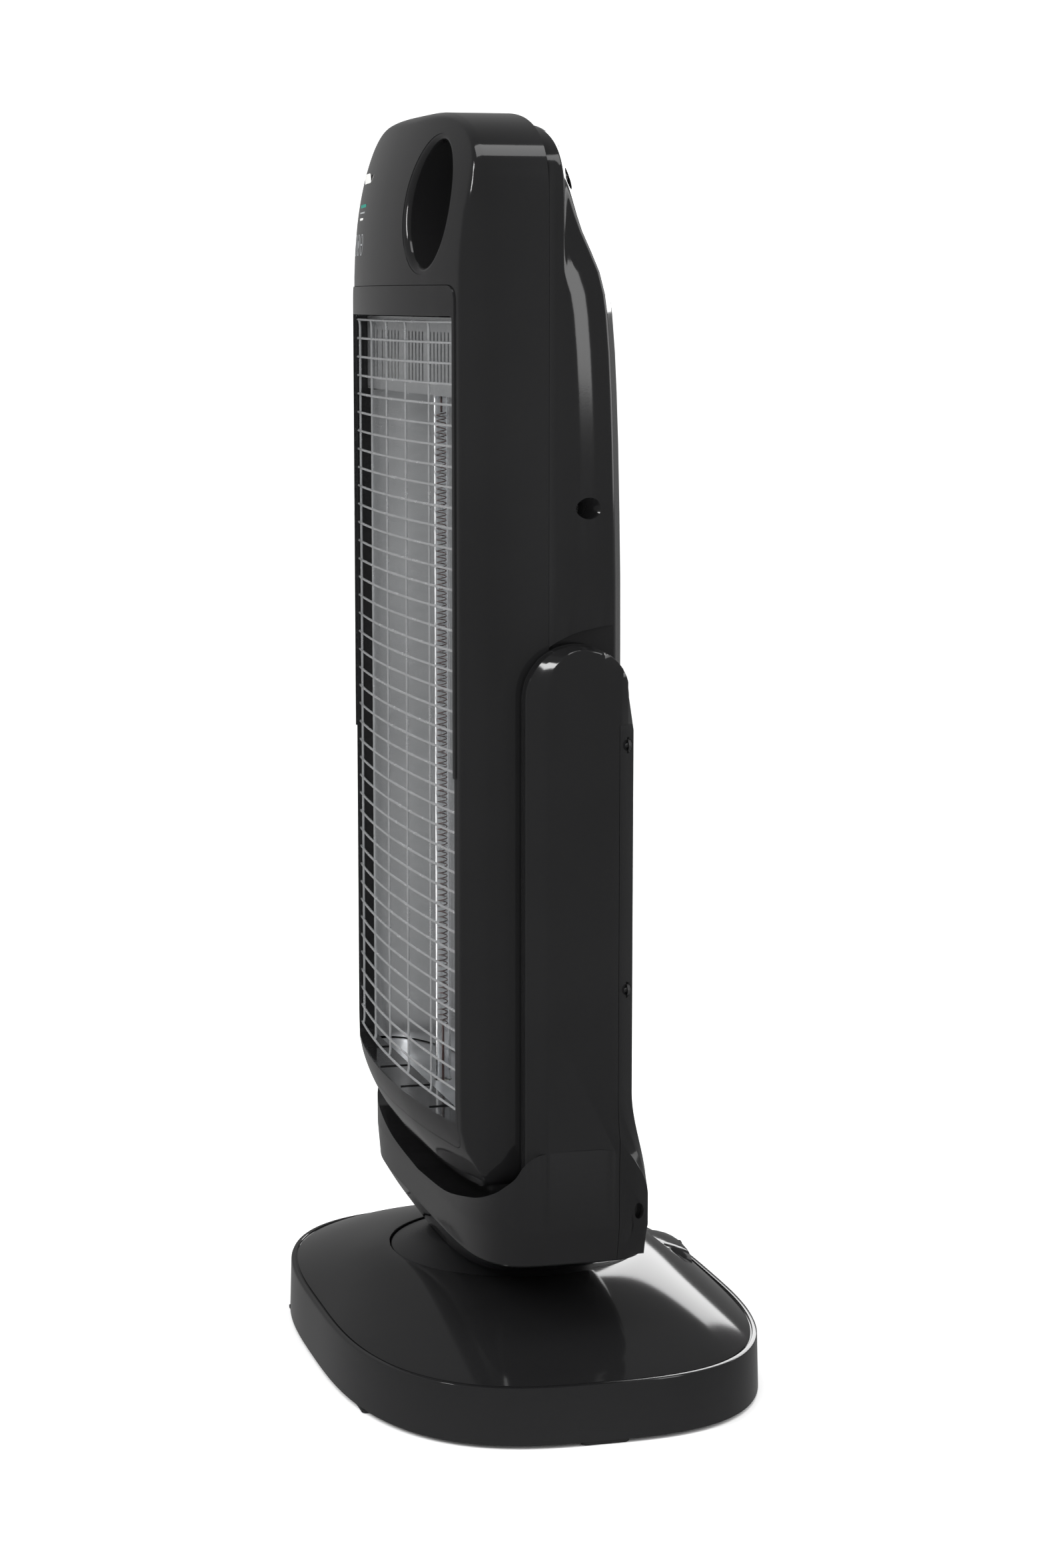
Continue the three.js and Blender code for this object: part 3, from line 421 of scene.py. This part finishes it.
def build_base():
    rim, top, lip = BASE["draft"], BASE["rim_top"], BASE["lip"] + BASE["draft"]
    edge = [(0, BASE["bottom"]), (rim - 0.1, top - 1.4), (rim + 0.5, top - 0.3), (rim + 1.6, top),
            (lip - 0.4, top), (lip, top - 0.3), (lip + 0.2, top - 1.1), (lip + 1.0, top - 1.1),
            (lip + 1.2, top - 0.2)]
    rings = [base_ring(1, inset, z) for inset, z in edge]
    rows = 44
    for i in range(rows + 1):
        blend = 1 - i / rows
        rise = BASE["dome_rise"] * (1 - blend ** BASE["dome_power"])
        rings.append(base_ring(max(blend, 0.008), lip + 1.6, top + rise))
    dome_top = top + BASE["dome_rise"]
    rings.append(base_ring(0.002, lip, dome_top - 0.2))
    for z in (dome_top - 0.8, BASE["well_floor"]):
        rings.append(base_ring(0, lip, z))
    hub = BASE["hub"] / BASE["well"]
    under_well = BASE["well_floor"] - BASE["wall"]
    for z in (BASE["well_floor"], under_well):
        rings.append([(x * hub, y * hub, z) for x, y, _ in base_ring(0, lip, z)])
    outside_well = [(x * 1.035, y * 1.035) for x, y, _ in base_ring(0, lip, 0)]
    for height in (under_well, dome_top - 3.4):
        rings.append([(x, y, height) for x, y in outside_well])
    for blend in (0.35, 0.75):
        rise = BASE["dome_rise"] * (1 - blend ** BASE["dome_power"])
        rings.append(base_ring(blend, lip, top + rise - 4))
    rings.append(base_ring(1, 5.2, top - 3))
    rings.append(base_ring(1, 3.5, BASE["bottom"]))
    cover = make("base_cover_shell", [loft(rings, looped=True)])
    hood = []
    for y, half, height in CORD_HOOD:
        arch = rounded([(half, 40), (half, height - 8), (half * 0.72, height - 1.5), (0, height)],
                       6, 5, closed=False)
        hood.append([(x, y, z) for x, z in mirror(arch)])
    combine(cover, "UNION", [loft(hood)])
    throat = oval(CORD_THROAT["radius"], CORD_THROAT["radius"], 2, 32, (0, CORD_THROAT["z"]))
    cut(cover, prism(throat, "y", 62, 130))
    finish_piece(cover, "base", "gloss_black", "base_cover")

    profile = rounded([(DISC["bore"], DISC["bottom"]), (DISC["rim"], DISC["bottom"]),
                       (DISC["rim"], DISC["rim_top"]), (DISC["crown"], DISC["top"]),
                       (DISC["bore"], DISC["top"])], 1.6, 4)
    disc = make("turntable_skirt", [lathe(profile, 160)])
    finish_piece(disc, "turntable", "satin_black", "turntable_disc")

    for i in range(1, 7):
        low, high = (Vector(c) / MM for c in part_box(f"foot_{i}"))
        middle, half = (low + high) / 2, (high - low) / 2
        plan = [(middle.x + x, middle.y + y)
                for x, y in rounded([(half.x, half.y), (-half.x, half.y), (-half.x, -half.y),
                                     (half.x, -half.y)], 3, 5)]
        squeeze = [(0.94, low.z), (1, low.z + 0.5), (1, high.z)]
        pad = [[(middle.x + (x - middle.x) * s, middle.y + (y - middle.y) * s, z) for x, y in plan]
               for s, z in squeeze]
        finish_piece(make(f"foot_pad_{i}", [loft(pad)]), "base", "rubber", f"foot_{i}")


# ---------------------------------------------------------------- yoke
TROUGH_CURVE = spline(TROUGH, 6)


def yoke_hull():
    """Bowl that carries the arms: soft underside, flat ends, a rolled upper edge."""
    foot, lower, edge, rim = BOWL
    levels = spline([foot, lower, (edge[0] - 1.5, *edge[1:])], 6)
    levels += [(edge[0] - 0.6, edge[1] + 0.9, *edge[2:]), (edge[0] + 0.6, edge[1] + 1.3, *edge[2:])]
    levels += [(rim[0] - 2, rim[1] - 0.5, *rim[2:]), rim, (200, *rim[1:])]
    rings = []
    for z, half_x, half_y, power in levels:
        rings.append([(x, y, z) for x, y in oval(half_x, half_y, power, 320, (0, YOKE["centre_y"]))])
    above = [(180, 173), (180, 260), (-180, 260), (-180, 173)]
    top = [(x, z) for x, z in reversed(TROUGH_CURVE)]
    outline = above + [(-x, z) for x, z in top][:-1] + [(x, z) for x, z in reversed(top)]
    hull = cut(make("yoke_hull", [loft(rings)]), prism(outline, "y", -120, 120))
    return soften(hull, 2.6, 10)


def yoke_arm(side):
    """One arm from its inner to its outer face: bevelled edges and a round top."""
    stations = [(152.5, -38, 31, 0), (158, -38, 31, 0), (161.6, -38, 26.4, 0), (162.4, -37.6, 25.4, 0.1),
                (164.6, -34.4, 22.4, 0.8), (165.4, -33.4, 20.8, 1.0), (169.2, -28.2, 9.4, 2.2),
                (169.8, -27.2, 7.6, 2.6), (170, -26.4, 6.6, 3.1)]
    rings = []
    for x, front, rear, drop in stations:
        flare_to = 42 - (x - YOKE["inner"]) / (YOKE["outer"] - YOKE["inner"]) * 4

        def rear_at(z):
            return rear + (flare_to - rear) * ease((205 - z) / 62)

        ring = [(front, z) for z in (YOKE["foot"] - 20, YOKE["foot"], 260, 350)]
        for i in range(65):
            angle = math.pi * (1 - i / 64)
            reach = PIVOT["y"] - front if math.cos(angle) < 0 else YOKE["radius"]
            y = PIVOT["y"] + reach * math.cos(angle)
            z = PIVOT["z"] + (YOKE["radius"] - drop) * math.sin(angle)
            ring.append((min(y, rear), z))
        ring += [(rear, 429), (rear, 350), (rear, 260)]
        ring += [(rear_at(z), z) for z in range(208, YOKE["foot"], -4)]
        ring += [(flare_to, YOKE["foot"]), (flare_to - 2, YOKE["foot"] - 20)]
        rings.append([(side * min(x, 170 - max(0, YOKE["foot"] - z) * 0.28), y, z) for y, z in ring])
    return loft(rings)


def build_yoke():
    whole = yoke_hull()
    combine(whole, "UNION", [yoke_arm(1), yoke_arm(-1)])
    split, top = YOKE["split"], YOKE["cover_top"]
    notch = oval(2.6, 5.2, 2, 24, YOKE_NOTCH)
    cut(whole, prism(notch, "x", 162, 200), prism(notch, "x", -200, -162))
    shape = part_of(whole)
    scoops = [prism(oval(5.5, 5.5, 2, 32, (x + math.copysign(2, x), z)), "y", 25.6, 60)
              for x, z in YOKE_SCREWS]
    front = cut(make("yoke_front", [shape]), block(-200, 200, split - SEAM, 200, 0, top + SEAM))
    finish_piece(front, "turntable", "gloss_black", "yoke_front_shell", crease=12)
    cover = cut(make("yoke_rear", [shape]), block(-200, 200, -200, split + SEAM, 0, 600),
                block(-200, 200, 0, 200, top, 600), *scoops)
    finish_piece(cover, "turntable", "gloss_black", "yoke_rear_cover", crease=12)


# ---------------------------------------------------------------- head
def head_outline(inset):
    """Outline of the head seen from the front, the same number of points at any inset."""
    half = HEAD["half"] - inset
    points = []
    arcs = ((HEAD["top_spring"], HEAD["top"] - HEAD["top_spring"] - inset, HEAD["power"], 0, 96),
            (HEAD["bottom_spring"], HEAD["bottom_spring"] - HEAD["bottom"] - inset,
             HEAD["bottom_power"], math.pi, 64))
    for spring, height, power, start, steps in arcs:
        for i in range(steps + 1):
            angle = start + math.pi * i / steps
            points.append((half * power_curve(math.cos(angle), 2 / power),
                           spring + height * power_curve(math.sin(angle), 2 / power)))
        side = -1 if start == 0 else 1
        rise = HEAD["top_spring"] - HEAD["bottom_spring"]
        for i in range(1, 32):
            step = rise * i / 32
            points.append((side * half, HEAD["top_spring"] - step if side < 0 else
                           HEAD["bottom_spring"] + step))
    return points


def front_depth(x, z):
    """Bowed front surface, leaning back near the top and the bottom."""
    top = 0.000306 * max(0, z - 690) ** 2.35
    bottom = 0.02 * max(0, 188 - z) ** 1.8
    return HEAD["front"] + x * x / (2 * HEAD["bow"]) + top + bottom


# Roll of the front edge: depth at each distance in from the head's outline.
FRONT_EDGE = spline([(0, -58), (1.5, -64), (4.5, -69), (14, -82), (22, -93)], 8)


def front_solid(wall, back, shift=0):
    """Front half of the head as a solid, pulled in by `wall`."""
    def surface_ring(inset, pull):
        ring = []
        for x, z in head_outline(inset + wall):
            x1 = x * (1 - pull)
            z1 = z + (min(max(z, 230), 640) - z) * pull
            edge = between(FRONT_EDGE, inset) if pull == 0 else -96
            front = front_depth(x1, z1)
            gap = edge - front
            ring.append((x1, (edge + front + math.hypot(gap, 1.2)) / 2 + wall + shift, z1))
        return ring

    rings = [[(x, back, z) for x, z in head_outline(wall)],
             [(x, HEAD["band"] + wall + shift, z) for x, z in head_outline(wall)]]
    rings += [surface_ring(inset, 0) for inset in
              (0.4, 0.9, 1.5, 2.2, 3, 4, 5, 6, 7, 8, 9, 10, 11, 12, 13, 14, 15, 16.5, 18)]
    rings += [surface_ring(18, i / 26) for i in range(1, 27)]
    return loft(rings)


def rear_section(half, depth, z):
    """Plan section of the rear shell: flat side, two bevels and a crowned back."""
    y1 = -13
    y2 = max(y1 + 2, depth - 37)
    y3 = max(y2 + 2, depth - 24)
    y4 = max(y3 + 2, depth - 15)
    y5 = max(y4 + 1, depth - 7)
    shrink = min(1, half / 120)
    corners = [(half - 4, HEAD["seam"]), (half, y1), (half, max(y1 + 1, depth - 47)),
               (half - 1.8 * shrink, y2), (half - 6 * shrink, y3), (half - 24 * shrink, y4),
               (half - 54 * shrink, y5), (half / 3, depth - 1.5), (0, depth)]
    return [(x, y, z) for x, y in mirror(rounded(corners, 3, 5, closed=False))]


BACK_CURVE = spline(BACK, 8)


def rear_solid(wall):
    top, bottom = REAR["top"] - wall, HEAD["bottom"] + wall
    half = REAR["half"] - wall
    rings = []
    spring = HEAD["bottom_spring"]
    for i in range(24):
        drop = 1 - (0.02 + 0.98 * i / 23) ** 2.2
        width = half * (1 - min(0.9999, drop) ** HEAD["bottom_power"]) ** (1 / HEAD["bottom_power"])
        rings.append((spring - (spring - bottom) * drop, width))
    rings += [(z, half) for z in (300, 400, 478, 520, 565, 600, 632, 655, 678, 690, 703, 715, 727, 736)]
    for i in range(1, 27):
        angle = math.radians(3.1 * i)
        rings.append((HEAD["top_spring"] + (top - HEAD["top_spring"])
                      * math.sin(angle) ** (2 / HEAD["power"]),
                      half * math.cos(angle) ** (2 / HEAD["power"])))
    rings.sort()
    return loft([rear_section(width, between(BACK_CURVE, z + wall) - wall, z) for z, width in rings])


def rear_depth(x, z):
    """Back surface of the rear shell at a point of its elevation."""
    rise = min(0.999, max(0, z - HEAD["top_spring"]) / (REAR["top"] - HEAD["top_spring"]))
    half = REAR["half"] * (1 - rise ** HEAD["power"]) ** (1 / HEAD["power"])
    section = rear_section(half, between(BACK_CURVE, z), z)
    row = sorted((p[0], p[1]) for p in section if p[0] >= 0 and p[1] > HEAD["seam"] + 8)
    return between(row, abs(x))


def arm_pocket(floor_x, grow=0):
    """Rooms beside the lower rear shell in which the arms stand."""
    top = REAR["pocket_top"] + grow
    outline = [(-60, 130), (90, 130), (90, 400 + grow), (24 + grow, 430 + grow)]
    outline += rounded([(23.5 + grow, top - 8), (23.5 + grow, top), (10, top - 1), (-4, top - 3.5),
                        (-14, top - 8), (-20, top - 12.5), (-26, top - 19), (-60, top - 62)],
                       5, 4, closed=False)
    return [prism(outline, "x", floor_x, 200), prism(outline, "x", -200, -floor_x)]


def tunnel(grow, low=-120, high=90):
    outline = oval(HOLE["half_x"] + grow, HOLE["half_z"] + grow, 2, 96, (HOLE["x"], HOLE["z"]))
    return prism(outline, "y", low, high)


def tilted_rod(side, z, seat_x, seat_y, radius, start, end, steps=24):
    """Cylinder on a head screw's axis, measured from the screw's seat."""
    seat = Vector((side * seat_x, seat_y, z))
    along = Vector((side * math.sin(HEAD_SCREW_LEAN), math.cos(HEAD_SCREW_LEAN), 0))
    across = Vector((along.y, -along.x, 0))
    rings = []
    for distance in (start, end):
        centre = seat + along * distance
        rings.append([tuple(centre + radius * (math.cos(a) * across + math.sin(a) * Vector((0, 0, 1))))
                      for a in (2 * math.pi * k / steps for k in range(steps))])
    return loft(rings)


def build_head():
    wall = REAR["wall"]
    hole = HOLE["flare"] + SEAM
    window = rounded_box(WINDOW["half"], WINDOW["bottom"], WINDOW["top"], WINDOW["radius"])
    front = make("front_panel", [front_solid(0, HEAD["seam"] - SEAM)])
    cut(front, front_solid(wall, HEAD["seam"] + 20), prism(window, "y", -120, -30), tunnel(hole))
    finish_piece(front, "head", "gloss_black", "front_housing", crease=40)

    rear = make("rear_housing", [rear_solid(0)])
    cut(rear, *arm_pocket(REAR["pocket"]))
    room = make("room", [rear_solid(wall)])
    bosses = [block(*sorted((side * inner, side * 160)), -18, 16, z - 8, z + 8)
              for side, z, _, _, inner in HEAD_SCREWS]
    cut(room, *arm_pocket(REAR["pocket"] - wall, wall), *bosses)
    room_shape = part_of(room)
    slot_ends = VENTS["height"] / 2
    slots = [prism(rounded_box(VENTS["half"], z, z + VENTS["height"], slot_ends), "y", 20, 60)
             for z in (VENTS["bottom"] + VENTS["pitch"] * i for i in range(VENTS["rows"]))]
    mouth = prism(oval(HEAD["half"] - 4, 320, 6, 96, (0, 472)), "y", -30, HEAD["seam"] + 8)
    cut(rear, room_shape, mouth, *slots, tunnel(HOLE["wall"] + 0.3),
        *[tilted_rod(side, z, x, y, SCOOP_RADIUS, 0, 40) for side, z, x, y, _ in HEAD_SCREWS])
    finish_piece(rear, "head", "gloss_black", "rear_shell")

    build_grille_frame(window)
    build_sleeve()


def build_grille_frame(window):
    """Frame round the wires: a proud strip above, a ribbed sill below."""
    gap = 0.35
    outline = rounded_box(WINDOW["half"] - gap, WINDOW["bottom"] + gap, WINDOW["top"] - gap,
                          WINDOW["radius"] - gap)
    opening = prism(rounded_box(OPENING["half"], OPENING["bottom"], OPENING["top"],
                                OPENING["radius"]), "y", -130, 10)
    lower = make("grille_frame_body", [front_solid(0, HEAD["seam"])])
    combine(lower, "INTERSECT", [prism(outline, "y", -120, -64)])
    cut(lower, block(-200, 200, -200, 0, 400, 900))
    upper = make("upper", [front_solid(0, HEAD["seam"], -1)])
    combine(upper, "INTERSECT", [prism(outline, "y", -120, -64)])
    cut(upper, block(-200, 200, -200, 0, 0, 400))
    combine(lower, "UNION", [part_of(upper)])
    cut(lower, opening)
    sill = OPENING["bottom"]
    ribs = [block(x - 0.6, x + 0.6, front_depth(x, sill) + 2, -64.5, sill - 1, sill + 0.7)
            for x in (-87, -29, 29, 87)]
    combine(lower, "UNION", ribs)
    finish_piece(lower, "head", "gloss_black", "grille_frame", crease=40)


def build_sleeve():
    """Lining of the hand hole, flared softly into both faces of the head."""
    def ring(grow, depth):
        outline = oval(HOLE["half_x"] + grow, HOLE["half_z"] + grow, 2, 96, (HOLE["x"], HOLE["z"]))
        return [(x, depth(x, z), z) for x, z in outline]

    flare, steps = HOLE["flare"], 8
    rings = [ring(flare, lambda x, z: front_depth(x, z) + 1.2 + 1.6)]
    for i in range(steps + 1):
        angle = math.pi / 2 * i / steps
        grow, sink = flare * (1 - math.sin(angle)), flare * (1 - math.cos(angle))
        rings.append(ring(grow, lambda x, z, sink=sink: front_depth(x, z) + 0.4 + sink))
    rings.append(ring(0, lambda x, z: -20))
    rear_flare = HOLE["wall"]
    for i in range(steps + 1):
        angle = math.pi / 2 * (1 - i / steps)
        grow, sink = rear_flare * (1 - math.sin(angle)), rear_flare * (1 - math.cos(angle))
        rings.append(ring(grow, lambda x, z, sink=sink: rear_depth(x, z) - 0.2 - sink))
    rings.append(ring(rear_flare, lambda x, z: rear_depth(x, z) - 1.5))
    rings.append(ring(rear_flare, lambda x, z: front_depth(x, z) + 6))
    sleeve = make("hand_hole_lining", [loft(rings, looped=True)])
    finish_piece(sleeve, "head", "gloss_black", "handle_sleeve")


# ---------------------------------------------------------------- wires and heating chamber
def grille_depth(x):
    return GRILLE["y"] + x * x / 2500


def build_grille():
    wires = []
    reach = [GRILLE["half"] * (i / 12 - 1) for i in range(25)]
    bottom = GRILLE["top"] - (GRILLE["rows"] - 1) * GRILLE["pitch"]
    for i in range(GRILLE["rows"]):
        z = GRILLE["top"] - i * GRILLE["pitch"]
        wires.append(tube([(x, grille_depth(x), z) for x in reach], GRILLE["wire"], 10))
    for column in GRILLE["columns"]:
        behind = 1.1 if column == GRILLE["columns"][-1] else 1.5
        for x in (column, -column):
            y = grille_depth(x) + behind
            wires.append(tube([(x, y - 1, bottom - 0.6), (x, y - 0.3, bottom + 1.5), (x, y, bottom + 4),
                               (x, y, GRILLE["top"] - 4), (x, y - 0.3, GRILLE["top"] - 1.5),
                               (x, y - 1, GRILLE["top"] + 0.6)], GRILLE["wire"], 10))
    finish_piece(make("wire_front", wires), "head", "wire_chrome", "grille")


def build_chamber():
    face = mirror(spline(REFLECTOR, 8))
    back = [(x * 1.004, y + REFLECTOR_SHEET) for x, y in face]
    sheet = make("reflector_sheet", [prism(face + back[::-1], "z", *REFLECTOR_SPAN)])
    finish_piece(sheet, "head", "mirror_aluminium", "reflector")

    centre = (0, TUBE["y"])
    profile = [(TUBE["bore"], TUBE["bottom"]), (TUBE["radius"] - 0.3, TUBE["bottom"]),
               (TUBE["radius"], TUBE["bottom"] + 0.5), (TUBE["radius"], TUBE["top"] - 0.5),
               (TUBE["radius"] - 0.3, TUBE["top"]), (TUBE["bore"], TUBE["top"])]
    glass = make("glass_tube", [lathe(profile, 48, centre)])
    finish_piece(glass, "head", "quartz", "quartz_tube")

    turns = (COIL["top"] - COIL["bottom"]) / COIL["pitch"]
    steps = int(turns * 18)
    path = []
    for i in range(steps + 1):
        angle = 2 * math.pi * turns * i / steps
        path.append((COIL["radius"] * math.cos(angle), TUBE["y"] + COIL["radius"] * math.sin(angle),
                     COIL["bottom"] + (COIL["top"] - COIL["bottom"]) * i / steps))
    leads = [tube([(0, TUBE["y"], z) for z in span], 0.8, 8)
             for span in ((176, 200, 219), (616, 625, 634))]
    coil = make("carbon_coil", [tube(path, COIL["wire"], 6)] + leads)
    finish_piece(coil, "head", "carbon", "filament")

    for name, low, high in (("end_cap_bottom", 160, 180.6), ("end_cap_top", 629.4, 650)):
        shape = rounded([(5.2, low + 4), (5.2, high), (7.6, high), (8, high - 1.5), (8, low + 6),
                         (6.6, low + 4), (6.6, low), (5.2, low)], 0.6, 3)
        cap = make(name.replace("end_cap", "tube_holder"), [lathe(shape, 40, centre)])
        finish_piece(cap, "head", "ceramic", name)


# ---------------------------------------------------------------- screws and marks
def screw(name, seat, along, length):
    """Pan-head screw with a cross recess: seat is the underside of its head."""
    axis = Vector(along).normalized()
    turn = Vector((0, 0, 1)).rotation_difference(axis)

    def placed(part):
        points, faces = part
        return [tuple(turn @ Vector(p) + Vector(seat)) for p in points], faces

    profile = [(0.01, -length), (1.0, -length), (1.5, -length + 1.5), (1.5, 0), (3.4, 0), (3.4, 0.8),
               (2.9, 1.7), (1.8, 2.2), (0.01, 2.3)]
    body = make(name, [placed(lathe(profile, 28))])
    arms = [placed(block(-1.9, 1.9, -0.4, 0.4, 1.0, 4)), placed(block(-0.4, 0.4, -1.9, 1.9, 1.0, 4))]
    return cut(body, *arms)


def build_screws():
    # The yoke and head screws sit in scoops and take the darkened steel, painted shade for the scoops'
    # shadow, in place of their zinc finish
    for i, (x, z) in enumerate(YOKE_SCREWS):
        piece = screw(f"yoke_fixing_{i + 1}", (x, 25.9, z), (0, 1, 0), 14)
        finish_piece(piece, "turntable", "zinc_steel", f"yoke_screw_{i + 1}", material=SHADED_STEEL)
    for i, (side, z, x, y, _) in enumerate(HEAD_SCREWS):
        along = (side * math.sin(HEAD_SCREW_LEAN), math.cos(HEAD_SCREW_LEAN), 0)
        seat = (side * x + along[0] * 0.3, y + along[1] * 0.3, z)
        piece = screw(f"head_fixing_{i + 1}", seat, along, 8)
        finish_piece(piece, "head", "zinc_steel", f"head_screw_{i + 1}", material=SHADED_STEEL)
    places = [(160, 68), (-160, 68), (-160, -68), (160, -68)]
    for i, (x, y) in enumerate(places):
        piece = screw(f"base_fixing_{i + 1}", (x, y, 5.3), (0, 0, -1), 12)
        finish_piece(piece, "base", "zinc_steel", f"base_screw_{i + 1}")


def mark(name, low_x, high_x, low_z, high_z, ink):
    """Thin printed bar with round ends that follows the bow of the front surface."""
    middle, half = (low_z + high_z) / 2, (high_z - low_z) / 2
    width = high_x - low_x
    rings = []
    for i in range(25):
        x = low_x + width * (1 - math.cos(math.pi * i / 24)) / 2
        inward = min(1, min(x - low_x, high_x - x) / min(half, width / 2))
        reach = half * max(0.05, math.sqrt(1 - (1 - inward) ** 2))
        depth = front_depth(x, middle)
        rings.append([(x, depth + lift, middle + side * reach)
                      for lift, side in ((-PRINT_LIFT, -1), (-PRINT_LIFT, 1), (PRINT_SINK, 1),
                                         (PRINT_SINK, -1))])
    finish_piece(make(name, [loft(rings)]), "head", "gloss_black", material=INK[ink])


def ringed(name, x, z, radius, width, ink):
    """A printed circle round a touch key."""
    outer = oval(radius, radius, 2, 48, (x, z))
    inner = oval(radius - width, radius - width, 2, 48, (x, z))
    corners = ((outer, -PRINT_SINK), (outer, PRINT_LIFT), (inner, PRINT_LIFT), (inner, -PRINT_SINK))
    rings = [[(px, front_depth(px, pz) - lift, pz) for px, pz in outline]
             for outline, lift in corners]
    finish_piece(make(name, [loft(rings, looped=True)]), "head", "gloss_black",
                 material=INK[ink])


def build_marks():
    mark("mark_bar", -120, -80, 757, 768, "white")
    mark("mark_line_teal", -118, -82, 746, 748.2, "teal")
    mark("mark_line_upper", -116, -84, 742.4, 743.4, "grey")
    mark("mark_line_lower", -110, -90, 738, 739.4, "white")
    for i, x in enumerate((-124, -104, -84)):
        ringed(f"key_ring_{i + 1}", x, 722, 7, 0.6, "grey")
    mark("key_sign_1", -124.5, -123.5, 720, 726, "grey")
    mark("key_sign_2", -105.6, -102.4, 719, 725, "grey")
    mark("key_sign_3", -87, -81, 721.4, 722.6, "grey")


# ---------------------------------------------------------------- carried-over CAD nodes
def dress_cad_nodes():
    slots = {part["node"]: part["material_slot"] for part in frame["record"]["subparts"]}
    for name, node in frame["nodes"].items():
        if node.hide_render:
            continue
        for material_slot in node.material_slots:
            material_slot.link = "OBJECT"
            material_slot.material = SLOTS[slots[name]]


# ---------------------------------------------------------------- studio
def area_light(name, place, target, size, power):
    data = bpy.data.lights.new(name, "AREA")
    data.shape = "RECTANGLE"
    data.size, data.size_y = size
    data.energy = power
    light = bpy.data.objects.new(name, data)
    light.location = place
    light.rotation_euler = (Vector(target) - Vector(place)).to_track_quat("-Z", "Y").to_euler()
    bpy.context.collection.objects.link(light)


def plain(name, colour, strength):
    """Evenly glowing white for the studio's walls."""
    material = bpy.data.materials.new(name)
    material.use_nodes = True
    tree = material.node_tree
    tree.nodes.clear()
    glow = tree.nodes.new("ShaderNodeEmission")
    glow.inputs["Color"].default_value = (*colour, 1)
    glow.inputs["Strength"].default_value = strength
    output = tree.nodes.new("ShaderNodeOutputMaterial")
    link(tree, glow.outputs["Emission"], output.inputs["Surface"])
    return material


def build_studio():
    floor = make("studio_floor", [([(-9000, -9000, 0), (9000, -9000, 0), (9000, 9000, 0),
                                   (-9000, 9000, 0)], [(0, 1, 2, 3)])])
    floor.data.materials.append(surface("floor_white", (0.96, 0.96, 0.96), 0.7, varied=0.004,
                                        bump=0.0, sockets={"Specular IOR Level": 0.1}))
    rows = [(8800 * math.cos(math.radians(a)), -50 + 8800 * math.sin(math.radians(a)))
            for a in (0, 8, 20, 35, 50, 65, 80, 89)]
    walls = make("studio_walls", [lathe(rows, 64, closed=False)])
    walls.data.materials.append(plain("studio_glow", (1, 1, 1), 1.25))
    for stage in (floor, walls):
        stage.visible_glossy = False
    world = bpy.data.worlds.new("studio")
    world.use_nodes = True
    world.node_tree.nodes["Background"].inputs["Color"].default_value = (1, 1, 1, 1)
    world.node_tree.nodes["Background"].inputs["Strength"].default_value = 0.2
    bpy.context.scene.world = world
    centre = (0, 0, 0.4)
    area_light("softbox_front", (0.75, -2.3, 2.0), centre, (0.5, 1.5), 40)
    area_light("softbox_side", (1.8, 1.26, 1.3), (0, 0, 1.3), (0.5, 1.4), 9)
    area_light("softbox_rear", (-0.6, 2.4, 1.2), centre, (1.4, 1.6), 10)
    area_light("softbox_left", (-2.2, 1.3, 1.1), centre, (0.9, 0.7), 8)
    area_light("softbox_top", (0.4, 0.0, 3.0), centre, (1.6, 1.0), 15)
    bpy.context.scene.view_settings.view_transform = "Standard"


def build_camera():
    data = bpy.data.cameras.new("camera")
    data.lens = 77
    data.shift_x = 0.0043
    camera = bpy.data.objects.new("camera", data)
    camera.location = (2.0803, -0.5685, 0.688)
    camera.rotation_euler = Euler([math.radians(a) for a in (81.7464, 0, 74.71)])
    bpy.context.collection.objects.link(camera)
    bpy.context.scene.camera = camera


build_base()
build_yoke()
build_head()
build_grille()
build_chamber()
build_screws()
build_marks()
dress_cad_nodes()
build_studio()
build_camera()
